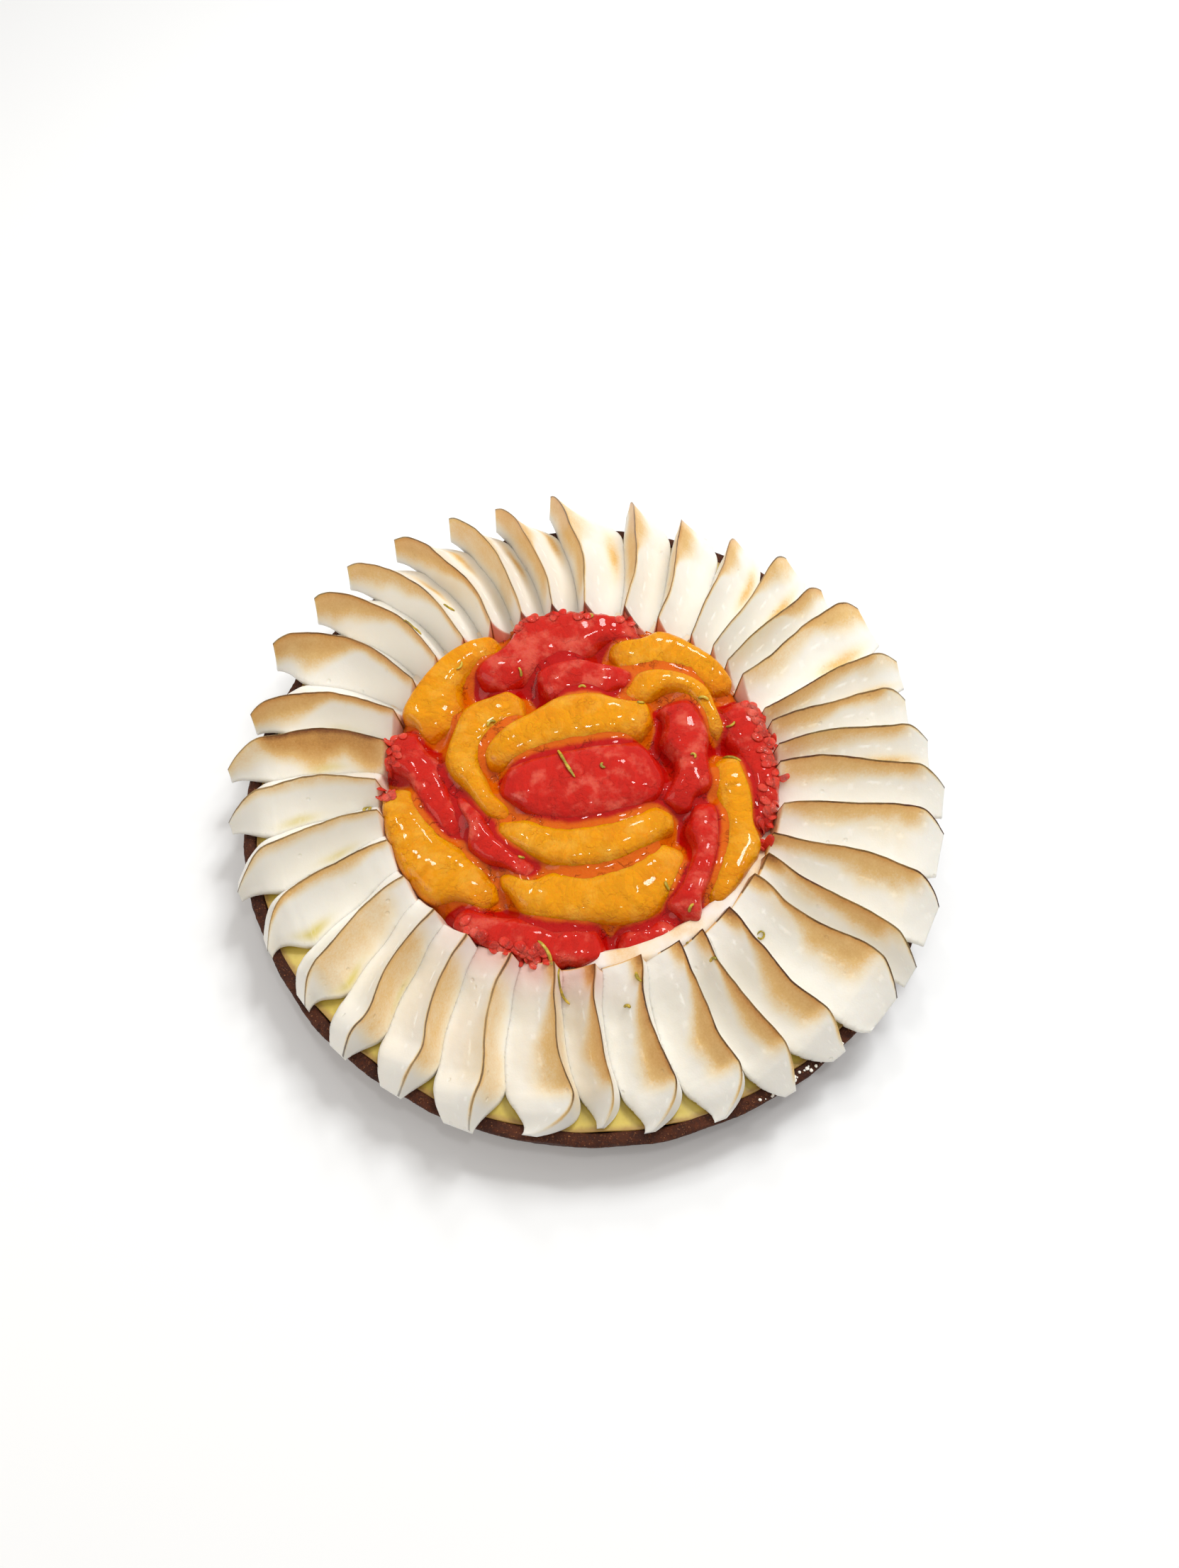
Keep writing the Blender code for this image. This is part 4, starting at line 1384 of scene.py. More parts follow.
    def browning(self, skin: PetalSkin) -> Array:
        """Gives how strongly the torch has browned each point: in zones, on the ridge and at the inside.

        Args:
            skin: What the browning goes by.

        Returns:
            The strength at each point.
        """
        along = skin.along
        angle = self.petal.outer_angle
        torch = np.zeros_like(skin.from_ridge)
        for zone in TORCH_ZONES:
            weight = float(near_angle(angle, zone.centre, zone.width))
            heat = weight * (zone.heat + self.fine.uniform(-0.10, 0.10))
            reach = mix(zone.inner_reach, zone.outer_reach, smooth_step(along, *zone.widens))
            reach = np.maximum(reach * (1.0 + 0.35 * skin.spots), 0.02)
            within = smooth_step((1.0 - skin.share) / reach, 1.20, 0.25)
            near = 0.42 * smooth_step(skin.from_ridge, 2.4, 0.2)
            run = smooth_step(along, zone.until + 0.06, zone.until - 0.08)
            run = run * smooth_step(along, zone.since - 0.1, zone.since + 0.1)
            on_face = skin.is_steep if zone.steep else ~skin.is_steep
            torch = np.maximum(torch, heat * (within + near * (within > 0)) * run * on_face)
        on_ridge = 0.46 * smooth_step(skin.from_ridge, 1.7, 0.1) * smooth_step(along, 1.0, 0.9)
        torch = np.maximum(torch, on_ridge)
        corner = near_angle(angle, 305.0, 60.0)
        patch = corner * smooth_step(along, 0.22, 0.02) * smooth_step(skin.from_ridge, 6.5, 0.4)
        patch = patch * ~skin.is_steep
        torch = np.maximum(torch, self.fine.uniform(0.7, 1.0) * patch)
        torch = np.maximum(torch, smooth_step(along, 0.012, -0.006) * (0.12 + 0.7 * corner))
        back = max(0.0, math.sin(math.radians(angle)))
        if self.fine.random() < 0.75 * back:
            at_length = bump_at(along, self.fine.uniform(0.55, 0.75), 0.16)
            at_height = bump_at(skin.share, self.fine.uniform(0.2, 0.4), 0.12)
            on_wide = ~(skin.is_steep | skin.is_under)
            torch = np.maximum(torch, 0.45 * (at_length * at_height) * on_wide)
        return np.where(skin.is_under, 0.0, torch)

    def char_line(self, skin: PetalSkin) -> Array:
        """Gives each point's distance from a charred line: the ridge, and at some petals the inner rim.

        Args:
            skin: What the browning goes by.

        Returns:
            The distance in millimetres, which is large where nothing is charred.
        """
        angle = self.petal.outer_angle
        edged = max(float(near_angle(angle, 310.0, 40.0)), float(near_angle(angle, 92.0, 36.0)))
        inner_rim = np.abs(skin.along + 0.002) * (self.petal.reach - self.start) * 1.2
        inner_rim = inner_rim + FAR_FROM_RIDGE * (skin.share < 0.45)
        inner_rim = inner_rim + FAR_FROM_RIDGE * (1.0 - edged)
        return np.where(skin.is_under, FAR_FROM_RIDGE, np.minimum(skin.from_ridge, inner_rim))

    def curd_smear(self, skin: PetalSkin) -> Array:
        """Gives how strongly curd has smeared each point, low on the steep faces at the left."""
        strength = self.fine.uniform(0.6, 1.0)
        smear = strength * bump_at(skin.along, self.fine.uniform(0.3, 0.7), 0.12) * skin.is_steep
        smear = smear * near_angle(self.petal.outer_angle, 198.0, 44.0)
        return smear * bump_at(skin.share + 0.05 * skin.spots, 0.17, 0.11)

    def stain(self, rings: Array, along: Array) -> Array:
        """Gives how strongly juice has stained each point: at the inner ends, most at the front left.

        Args:
            rings: The petal's points in millimetres.
            along: The share of its length at each ring.

        Returns:
            The strength at each point, from 0 to 1.
        """
        angle = self.petal.inner_angle
        near = smooth_step(np.hypot(rings[..., 0], rings[..., 1]), 82.0, 69.0)
        cloud = 0.6 + 0.4 * self.noise.rough(rings, 9.0, 2)
        strength = 0.04 + 0.8 * near_angle(angle, 256.0, 26.0) + 0.15 * near_angle(angle, 0.0, 30.0)
        soaked = smooth_step(along, 0.008, -0.006) * (0.25 + 0.75 * near_angle(angle, 92.0, 60.0))
        return np.clip(np.maximum(near * cloud * strength, soaked), 0.0, 1.0)


BARE_STRIP = (303.0, 50.0)
STRIP_WIDTH = 2.2


def petals_inner_radius(angle: Array) -> Array:
    """Gives where the petals start: the whole ring lies a little toward the back left."""
    return PETALS_START + PETALS_SHIFT * np.cos(np.radians(np.asarray(angle) - PETALS_SHIFT_TOWARD))


@dataclass
class PetalRing:
    """All the petals, each in its own wedge between two valley lines."""

    draw: random.Random

    def valley_line(self, petal: Petal, following: Petal) -> PlanLine:
        """Gives the line where a petal meets the next: near its ridge where the steep face is narrow."""
        angle = petal.outer_angle
        share = 0.14 + float(sum(more * near_angle(angle, *zone) for more, *zone in WIDE_STEEP_FACES))
        return PlanLine(
            mix(petal.inner_angle, following.inner_angle, share),
            mix(petal.outer_angle, following.outer_angle, share),
        )

    def build(self, material: Material) -> list[Object]:
        """Builds every petal.

        Args:
            material: The meringue's finish.

        Returns:
            The finished pieces.
        """
        first = PETALS[0]
        around = PETALS + (Petal(first.inner_angle + 360, first.outer_angle + 360, first.reach),)
        valleys = [self.valley_line(petal, following) for petal, following in itertools.pairwise(around)]
        return [
            PetalPiece(k + 1, petal, valleys[k - 1], valleys[k], self.draw).build(material)
            for k, petal in enumerate(PETALS)
        ]


@dataclass
class MeringueBed:
    """The low uneven bed of meringue that shows between the petals' inner ends and the fruit."""

    sides: int = 480
    inner: float = 62.0
    outer: float = 78.0
    top: float = 23.8
    shoulder: float = 2.0
    heap: float = 8.0

    def build(self, material: Material) -> None:
        """Turns a low rounded ring and makes it uneven.

        Args:
            material: The meringue's finish.
        """
        base = CURD_TOP + 0.1
        side_top = self.top - self.shoulder
        crown = [
            (mix(self.inner, self.outer, share), self.top + 0.5 * math.sin(math.pi * share))
            for share in np.linspace(0.08, 0.92, 14)
        ]
        foot = (self.inner, base)
        outline = [foot, (self.inner, side_top), *crown, (self.outer, side_top), (self.outer, base), foot]
        obj = turned_form("meringue_bed", outline, self.sides, ring=True)
        points = read_points(obj) / MM
        angle = from_axis(points)[1]
        points[:, :2] += polar(petals_inner_radius(angle) - PETALS_START, angle)
        lift = smooth_step(points[:, 2], base + 1.0, side_top)
        noise = SmoothNoise(Seed.BED)
        points[:, 2] += lift * (0.7 * noise.rough(points, 9.0) + 0.12 * noise.at(points, 1.6))
        inside = smooth_step(from_axis(points)[0] - petals_inner_radius(angle), 2.6, 0.2)
        points[:, 2] += lift * self.heap * inside * near_angle(angle, *BARE_STRIP)
        write_points(obj, points * MM)
        paint(obj, "torch", np.clip(0.12 + 0.25 * noise.rough(points + 60.0, 7.0), 0.0, 0.5))
        for name, value in (("ridge", FAR_FROM_RIDGE), ("scorch", 0.0), ("stain", 0.12), ("curd", 0.0)):
            paint(obj, name, np.full(len(points), value))
        face_outward(obj)
        attach(obj, material)


@dataclass(frozen=True)
class Segment:
    """One citrus segment: three points of its curved centre line from above, its width and its top."""

    name: str
    start: tuple[float, float]
    middle: tuple[float, float]
    end: tuple[float, float]
    width: float
    top: float

    @property
    def citrus(self) -> Citrus:
        """The kind of fruit, which its name starts with."""
        return Citrus(self.name.split("_")[0])


SEGMENTS = (
    Segment("grapefruit_centre", (-30, -4), (-3, -5), (25, 3), 31, 41),
    Segment("orange_above_centre", (-34, 4), (-9, 21), (22, 22), 19, 41),
    Segment("orange_below_centre", (-30, -17), (-3, -27), (28, -14), 20, 39),
    Segment("grapefruit_right_of_centre", (31, 31), (35, 9), (31, -12), 25, 39),
    Segment("orange_inner_left", (-24, 32), (-42, 10), (-27, -16), 21, 39),
    Segment("grapefruit_inner_back", (-18, 38), (-2, 41), (15, 37), 16, 38),
    Segment("orange_inner_right", (12, 34), (34, 37), (46, 18), 15, 37.5),
    Segment("grapefruit_inner_left", (-44, -6), (-33, -25), (-18, -37), 20, 37),
    Segment("grapefruit_band_right", (38, -9), (38, -31), (31, -51), 19, 37),
    Segment("orange_front", (-29, -36), (2, -44), (31, -27), 26, 36.5),
    Segment("orange_right", (47, 9), (53, -17), (41, -45), 26, 36),
    Segment("orange_back_right", (8, 54), (32, 53), (51, 38), 26, 36),
    Segment("grapefruit_right", (48, 29), (59, 9), (57, -17), 29, 35.5),
    Segment("grapefruit_back", (-38, 40), (-14, 59), (18, 60), 29, 37),
    Segment("orange_back_left", (-33, 57), (-55, 42), (-56, 17), 31, 36.5),
    Segment("grapefruit_left", (-62, 20), (-58, 1), (-41, -18), 25, 35),
    Segment("orange_front_left", (-65, -3), (-56, -27), (-31, -44), 30, 35.5),
    Segment("grapefruit_front", (-43, -49), (-22, -60), (5, -61), 26, 34.5),
    Segment("grapefruit_front_right", (10, -60), (20, -59), (30, -54), 14, 31.5),
)


class CentreLine:
    """A segment's curved centre line seen from above, through its start, middle and end."""

    SAMPLES = 16

    def __init__(self, segment: Segment) -> None:
        """Finds the curve.

        Args:
            segment: The segment that it runs through.
        """
        self.start = np.array(segment.start, float)
        self.end = np.array(segment.end, float)
        self.control = 2.0 * np.array(segment.middle, float) - (self.start + self.end) / 2.0
        self.samples = self.at(np.linspace(0.0, 1.0, self.SAMPLES + 1))
        self.length = float(np.linalg.norm(np.diff(self.samples, axis=0), axis=1).sum())

    def at(self, along: Array) -> Array:
        """Gives the line's points at these shares of its length."""
        t = np.asarray(along, float)[..., None]
        return (1.0 - t) ** 2 * self.start + 2.0 * t * (1.0 - t) * self.control + t * t * self.end

    def heading(self, along: Array) -> Array:
        """Gives the line's direction there."""
        t = np.asarray(along, float)[..., None]
        step = (1.0 - t) * (self.control - self.start) + t * (self.end - self.control)
        return step / np.linalg.norm(step, axis=-1, keepdims=True)

    def distance(self, points: Array) -> Array:
        """Gives how far these plan points are from the line."""
        best = np.full(points.shape[:-1], np.inf)
        for a, b in itertools.pairwise(self.samples):
            step = b - a
            share = np.clip(((points - a) @ step) / (step @ step), 0.0, 1.0)
            best = np.minimum(best, np.linalg.norm(points - a - share[..., None] * step, axis=-1))
        return best


def fruit_edge(points: Array) -> Array:
    """Gives how far out the fruit may reach in the direction of these plan points."""
    angle = from_axis(points)[1]
    return petals_inner_radius(angle) + 0.9 - STRIP_WIDTH * near_angle(angle, *BARE_STRIP)


@dataclass
class FruitPiece:
    """One segment: a plump ragged crescent with rounded ends that presses against its neighbours."""

    segment: Segment
    line: CentreLine
    others: Sequence[tuple[Segment, CentreLine]]
    seed: int
    stations: int = 84
    spokes: int = 60
    march: float = 0.25
    swell: float = 1.6
    gap: float = -1.4
    lean: float = 0.005
    lean_level: float = CASE_HEIGHT + 16.0
    edge_hold: float = 0.45
    roundness: float = 2.9
    waist: float = 0.45
    farthest: float = 30.0

    def is_free(self, points: Array) -> Array:
        """Tells which plan points are this segment's: inside the petals and not nearer to a neighbour."""
        free = np.linalg.norm(points, axis=-1) < fruit_edge(points)
        half = self.segment.width / 2.0
        own = self.line.distance(points) / half
        for other, line in self.others:
            other_half = other.width / 2.0
            slack = 0.5 * self.gap * (1.0 / half + 1.0 / other_half)
            free &= own + slack < line.distance(points) / other_half
        return free

    def reach(self, middle: Array, side: Array, wanted: Array) -> Array:
        """Finds how far the piece may go sideways.

        Args:
            middle: The centre line's points.
            side: The direction to go from each.
            wanted: The width wanted at each.

        Returns:
            How far it goes at each.
        """
        gone = np.arange(self.march, self.farthest, self.march)
        points = middle[:, None, :] + side[:, None, :] * gone[None, :, None]
        free = self.is_free(points)
        free[:, -1] = False
        found = np.maximum(self.march, gone[np.argmin(free, axis=1)] - self.march)
        return np.maximum(0.2, np.minimum(wanted, found))

    def fullness(self, along: Array) -> Array:
        """Gives the share of the full width at each share of the length, which falls off at both ends."""
        off = np.clip(np.abs(2.0 * along - 1.0), 0.0, 1.0)
        return np.maximum(0.02, (1.0 - off**4.2)) ** 0.5

    def build(self, material: Material) -> Object:
        """Lays a sphere over the segment's rings.

        Args:
            material: The flesh's finish.

        Returns:
            The finished piece.
        """
        spaced = 0.5 - 0.5 * np.cos(np.linspace(0.0, math.pi, self.stations))
        along = mix(np.linspace(0.0, 1.0, self.stations), spaced, 0.75)
        middle = self.line.at(mix(-0.012, 1.012, along))
        heading = self.line.heading(along)
        side = np.stack([heading[:, 1], -heading[:, 0]], axis=1)
        full = self.fullness(along)
        wanted = full * self.swell * self.segment.width / 2.0
        end = mix(0.25, 1.0, smooth_step(np.minimum(along, 1.0 - along), 0.0, 0.05) ** 0.5)
        left = soften(self.reach(middle, -side, wanted), 16) * end
        right = soften(self.reach(middle, side, wanted), 16) * end

        angle = np.linspace(-0.5 * math.pi, 1.5 * math.pi, self.spokes, endpoint=False)
        power = 2.0 / self.roundness
        across = np.sign(np.cos(angle)) * np.abs(np.cos(angle)) ** power
        upward = np.sin(angle)
        crown = self.waist + (1.0 - self.waist) * np.abs(upward) ** power
        up = np.where(upward > 0, crown, self.waist - self.waist * np.abs(upward) ** 0.6)
        base = CURD_TOP + 0.3
        height = (self.segment.top - base) * mix(0.50, 1.0, full**0.7)
        half = np.where(across[None, :] > 0, right[:, None], left[:, None])
        plan = middle[:, None, :] + side[:, None, :] * (across[None, :] * half)[..., None]
        level = base + height[:, None] * up[None, :]
        inward = 1.0 - self.edge_hold * (np.linalg.norm(plan, axis=-1) / fruit_edge(plan)) ** 2
        plan = plan * (1.0 + self.lean * inward * (level - self.lean_level))[..., None]
        rings = np.concatenate([plan, level[..., None]], axis=2)
        rings = self.roughen(rings, along, across)

        name = f"{self.segment.citrus.value}_segment_{self.segment.name.split('_', 1)[1]}"
        form = SphereForm.lay(name, rings, rings[0].mean(axis=0), rings[-1].mean(axis=0))
        wrap = across[None, :] * half + np.sign(across)[None, :] * (1.0 - up[None, :]) * height[:, None]
        run = np.broadcast_to((along * self.line.length)[:, None], wrap.shape)
        form.paint("grain", np.stack([run, wrap, np.full_like(wrap, 13.0 * self.seed)], axis=2))
        # The crown attribute carries painted light: high on the lit top of the segment, low on its shaded
        # sides, and less at the thin ends.
        form.paint("crown", smooth_step(up, 0.35, 1.0)[None, :] * mix(0.55, 1.0, full)[:, None])
        attach(form.obj, material, [self.segment.name])
        return form.obj

    def roughen(self, rings: Array, along: Array, across: Array) -> Array:
        """Gives the flesh its lumps and the low ridges of its juice sacs.

        Args:
            rings: The smooth points.
            along: Each ring's share of the length.
            across: Each spoke's place from side to side.

        Returns:
            The uneven points.
        """
        noise = SmoothNoise(Seed.SEGMENTS + self.seed)
        outward = rings - rings.mean(axis=1, keepdims=True)
        outward /= np.maximum(np.linalg.norm(outward, axis=2, keepdims=True), 1e-6)
        torn = 1.0 if self.segment.citrus is Citrus.GRAPEFRUIT else 0.3
        run = (along * self.line.length)[:, None] / 1.7
        sacs = np.stack(np.broadcast_arrays(run, across[None, :] * 2.2, 3.0 * self.seed), axis=2)
        lumps = 0.42 * noise.rough(rings, 11.0, 2) + 0.07 * noise.at(sacs, 1.0)
        lumps = lumps + 0.06 * noise.at(rings, 1.3)
        plan = rings[..., :2]
        edge = smooth_step(np.linalg.norm(plan, axis=-1) - fruit_edge(plan), -9.0, -1.0)
        facing = np.clip((outward[..., :2] * plan).sum(axis=-1) / np.linalg.norm(plan, axis=-1), 0.0, 1.0)
        frayed = 0.5 + 0.9 * noise.rough(rings + 31.0, 4.0, 2) + 0.5 * noise.at(rings, 1.6)
        inside = smooth_step(np.minimum(along, 1.0 - along), 0.02, 0.16)[:, None]
        lumps = lumps + torn * edge * facing * frayed * inside
        top = smooth_step(rings[..., 2], CURD_TOP + 1.0, CURD_TOP + 4.0)
        return rings + outward * (lumps * top)[..., None]


def soften(values: Array, times: int) -> Array:
    """Smooths a line of numbers by averaging each with its neighbours this many times."""
    for _ in range(times):
        padded = np.concatenate([values[:1], values, values[-1:]])
        values = 0.25 * padded[:-2] + 0.5 * padded[1:-1] + 0.25 * padded[2:]
    return values


@dataclass
class Rosette:
    """The whole rosette of segments."""

    def build(self, materials: dict[Citrus, Material]) -> dict[str, Object]:
        """Builds every segment.

        Args:
            materials: The flesh's finish for each kind.

        Returns:
            The pieces by their segment's name.
        """
        lines = {segment.name: CentreLine(segment) for segment in SEGMENTS}
        made = {}
        for k, segment in enumerate(SEGMENTS):
            others = [(other, lines[other.name]) for other in SEGMENTS if other is not segment]
            piece = FruitPiece(segment, lines[segment.name], others, k + 1)
            made[segment.name] = piece.build(materials[segment.citrus])
        return made


def surface_tree(objects: Sequence[Object]) -> tuple[BVHTree, list[int]]:
    """Joins meshes into one tree for rays.

    Args:
        objects: The mesh objects.

    Returns:
        The tree, and for each of its faces the number of the object that it came from.
    """
    points: list = []
    faces: list = []
    owners: list[int] = []
    for number, obj in enumerate(objects):
        shift = len(points)
        points.extend(read_points(obj).tolist())
        faces.extend([[shift + v for v in polygon.vertices] for polygon in obj.data.polygons])
        owners.extend([number] * len(obj.data.polygons))
    return BVHTree.FromPolygons(points, faces), owners


def look_down(tree: BVHTree, x: float, y: float) -> tuple[Vector | None, int | None]:
    """Gives the spot and the face that a ray meets, going down at this plan point, or None for both."""
    spot, _, face, _ = tree.ray_cast(Vector((x * MM, y * MM, RAY_START)), DOWN)
    return spot, face


@dataclass
class GlazePool:
    """The jelly between the segments: a skin that lies a little under the fruit and fills the grooves."""

    fruit: dict[str, Object]
    cells: int = 215
    spread: float = 3.2
    bleed: float = 1.3
    sink: float = 0.10
    low: float = 24.6
    thickness: float = 2.0

    def build(self, material: Material) -> None:
        """Reads the fruit's heights, softens them and hangs the skin under them.

        Args:
            material: The glaze's finish.
        """
        bpy.ops.mesh.primitive_grid_add(x_subdivisions=self.cells, y_subdivisions=self.cells, size=2.0)
        obj = take_new("glaze_pool")
        x, y, _ = read_points(obj).T
        disc = np.column_stack([x * np.sqrt(1.0 - y**2 / 2.0), y * np.sqrt(1.0 - x**2 / 2.0)])
        angle = from_axis(disc)[1]
        back = np.clip(np.cos(np.radians(angle - 95.0)), 0.0, 1.0) ** 3
        limit = petals_inner_radius(angle) + 0.6 + 2.0 * back
        limit = limit - STRIP_WIDTH * near_angle(angle, *BARE_STRIP)
        plan = disc * limit[:, None]
        tops, red, covered = self.read_fruit(plan)
        order = np.lexsort((x, y))
        side = self.cells + 1
        step = 2.0 * GAUGE_INNER / self.cells
        tops = self.soften_grid(tops, order, side, self.spread / step)
        weight = self.soften_grid(covered, order, side, self.bleed / step)
        red = self.soften_grid(red * covered, order, side, self.bleed / step) / np.maximum(weight, 0.01)
        outward = np.linalg.norm(disc, axis=1)
        height = mix(tops - self.sink, self.low - 0.8 + 1.6 * back, smooth_step(outward, 0.93, 1.0))
        points = np.column_stack([plan, height])
        points[:, 2] += 0.25 * SmoothNoise(Seed.GLAZE).rough(points, 5.0, 2)
        write_points(obj, points * MM)
        paint(obj, "red", red)
        select_only(obj)
        modifier = obj.modifiers.new("thickness", "SOLIDIFY")
        modifier.thickness = self.thickness * MM
        modifier.offset = -1.0
        bpy.ops.object.modifier_apply(modifier=modifier.name)
        face_outward(obj)
        attach(obj, material)

    def read_fruit(self, plan: Array) -> tuple[Array, Array, Array]:
        """Reads the fruit's top under each plan point, and whether it is grapefruit.

        Args:
            plan: The plan points in millimetres.

        Returns:
            The heights, 1 for grapefruit or 0 for orange, and 1 where there is fruit at all or else 0.
        """
        names = list(self.fruit)
        tree, owners = surface_tree([self.fruit[name] for name in names])
        is_red = [float(name.startswith("grapefruit")) for name in names]
        tops = np.full(len(plan), self.low)
        red = np.zeros(len(plan))
        covered = np.zeros(len(plan))
        for k, (x, y) in enumerate(plan):
            spot, face = look_down(tree, x, y)
            if spot is not None:
                tops[k] = max(spot.z / MM, self.low)
                red[k] = is_red[owners[face]]
                covered[k] = 1.0
        return tops, red, covered

    @staticmethod
    def soften_grid(values: Array, order: Array, side: int, sigma: float) -> Array:
        """Blurs values on the grid.

        Args:
            values: One value for each vertex.
            order: The vertices' order row by row.
            side: How many vertices one side has.
            sigma: The blur's width in cells.

        Returns:
            The blurred values in the vertices' own order.
        """
        table = values[order].reshape(side, side)
        span = int(3.0 * sigma)
        kernel = np.exp(-0.5 * (np.arange(-span, span + 1) / sigma) ** 2)
        kernel /= kernel.sum()
        for axis in (0, 1):
            padded = np.pad(table, [(span, span) if a == axis else (0, 0) for a in (0, 1)], mode="edge")
            shifts = [np.take(padded, np.arange(k, k + side), axis=axis) for k in range(len(kernel))]
            table = sum(weight * shift for weight, shift in zip(kernel, shifts, strict=True))
        result = np.empty_like(values)
        result[order] = table.ravel()
        return result


@dataclass(frozen=True)
class Curl:
    """A curl of zest seen from above: where it starts, its heading, its length and how far it turns."""

    start: tuple[float, float]
    heading: float
    length: float
    turn: float
    thickness: float = 1.0


CURLS = (
    Curl((-11, 11), 285, 16, 20, 1.15),
    Curl((25, 19), 150, 9, 230, 1.0),
    Curl((39, 10), 2, 15, -30, 0.9),
    Curl((-24, 41), 80, 3, 60),
    Curl((-19, 31), 10, 6, 160),
    Curl((-1, 33), 60, 5, 200),
    Curl((17, 28), 330, 3, 90),
    Curl((-32, 20), 160, 4, 120),
    Curl((5, 2), 200, 3, 200),
    Curl((42, 29), 120, 4, 90),
    Curl((36, 5), 40, 3, 200),
    Curl((1, 65), 20, 3, 260),
    Curl((25, -39), 280, 3, 40),
    Curl((34, -47), 200, 3, 80),
    Curl((-16, -59), 320, 11, -50, 1.1),
    Curl((-9, -68), 255, 11, 70, 0.95),
    Curl((-67, 62), 30, 6, -70, 1.1),
    Curl((-54, 75), 340, 4, 40),
    Curl((55, -55), 300, 6, 330, 0.7),
    Curl((32, -56), 240, 3, 60),
    Curl((37, 60), 60, 4, 100),
    Curl((-75, -11), 20, 7, 350, 1.0),
    Curl((13, -80), 100, 2.4, 120, 1.2),
    Curl((15, -70), 265, 4, 60, 1.1),
    Curl((-47, 43), 20, 4, 90),
    Curl((40, -66), 80, 2.5, 200),
    Curl((-23, -30), 320, 3, 90, 0.8),
    Curl((48, 21), 310, 4, 140),
)


def join_pieces(pieces: Sequence[Object], name: str) -> Object:
    """Joins small things of one kind into one piece with this name."""
    bpy.ops.object.select_all(action="DESELECT")
    for obj in pieces:
        obj.select_set(True)
    bpy.context.view_layer.objects.active = pieces[0]
    bpy.ops.object.join()
    pieces[0].name = name
    pieces[0].data.name = name
    return pieces[0]


@dataclass
class Strands:
    """Small flattened strands of one kind, each laid over whatever it has dropped on."""

    name: str
    tree: BVHTree
    bluntness: float
    arch: float = 0.5
    flatness: float = 0.75
    rings: int = 22
    spokes: int = 8

    def path(self, curl: Curl) -> Array:
        """Lays a strand's middle line over the surface and gives its points in millimetres."""
        x, y = curl.start
        heading = math.radians(curl.heading)
        step = curl.length / (self.rings - 1)
        arch = self.arch * min(1.0, curl.length / 8.0)
        points = []
        for k in range(self.rings):
            spot, _ = look_down(self.tree, x, y)
            share = k / (self.rings - 1)
            lift = 0.42 * self.flatness * curl.thickness + arch * math.sin(math.pi * share)
            points.append((x, y, (spot.z / MM if spot else CURD_TOP) + lift))
            x += step * math.cos(heading)
            y += step * math.sin(heading)
            heading += math.radians(curl.turn) / (self.rings - 1)
        line = np.array(points)
        line[:, 2] = soften(line[:, 2], 4)
        return line

    def build(self, curls: Sequence[Curl]) -> Object:
        """Models every strand, tapering to both ends, and joins them.

        Args:
            curls: Where each strand lies.

        Returns:
            The joined piece.
        """
        made = []
        noise = SmoothNoise(Seed.STRANDS)
        share = np.linspace(0.0, 1.0, self.rings)
        taper = np.sqrt(np.clip(1.0 - np.abs(2.0 * share - 1.0) ** self.bluntness, 0.04, 1.0))
        angle = np.linspace(0.0, 2.0 * math.pi, self.spokes, endpoint=False)[None, :, None]
        for number, curl in enumerate(curls):
            line = self.path(curl)
            ahead = np.gradient(line, axis=0)
            ahead /= np.linalg.norm(ahead, axis=1, keepdims=True)
            across = np.cross(ahead, (0.0, 0.0, 1.0))
            across /= np.linalg.norm(across, axis=1, keepdims=True)
            upward = np.cross(across, ahead)
            width = (0.5 * curl.thickness * taper * (1.0 + 0.25 * noise.at(line, 2.0)))[:, None, None]
            wide = across[:, None, :] * np.cos(angle) * width
            thick = upward[:, None, :] * np.sin(angle) * self.flatness * width
            rings = line[:, None, :] + wide + thick
            made.append(SphereForm.lay(f"{self.name}_{number}", rings, line[0], line[-1]).obj)
        return join_pieces(made, self.name)


@dataclass(frozen=True)
class SacPatch:
    """Where torn juice sacs lie at the rosette's edge: the direction, and how far past the petals' ends."""

    centre: float
    spread: float
    count: int
    past: float


SAC_PATCHES = (
    SacPatch(2.0, 27.0, 66, 2.0),
    SacPatch(174.0, 12.0, 26, 1.2),
    SacPatch(95.0, 20.0, 24, 0.2),
    SacPatch(246.0, 15.0, 30, 1.8),
)


@dataclass
class LooseSacs:
    """The torn juice sacs that fringe the outer grapefruit segments."""

    draw: random.Random
    back: float = -3.0

    def places(self) -> list[Curl]:
        """Draws where the sacs lie, mostly near the edge, each with a heading of its own.

        Returns:
            The sacs, patch by patch.
        """
        found = []
        for patch in SAC_PATCHES:
            for _ in range(patch.count):
                angle = patch.centre + patch.spread * self.draw.uniform(-1.0, 1.0)
                length = self.draw.uniform(2.8, 4.4)
                past = self.draw.triangular(self.back, patch.past, 0.0)
                x, y = polar(float(petals_inner_radius(angle)) + past - length / 2.0, angle)
                heading = angle + self.draw.uniform(0.0, 180.0)
                thickness = self.draw.uniform(2.4, 3.8)
                turn = self.draw.uniform(-40.0, 40.0)
                found.append(Curl((float(x), float(y)), heading, length, turn, thickness))
        return found

    def build(self, tree: BVHTree, material: Material) -> None:
        """Models the sacs as small drops and joins them.

        Args:
            tree: The surface that they lie on.
            material: The torn flesh's finish.
        """
        strands = Strands("torn_sacs", tree, 2.2, arch=0.0, flatness=0.28, rings=9, spokes=12)
        obj = strands.build(self.places())
        points = read_points(obj) / MM
        paint(obj, "grain", points)
        paint(obj, "crown", np.clip(0.6 + 0.5 * SmoothNoise(Seed.SACS).at(points, 4.0), 0.0, 1.0))
        attach(obj, material)


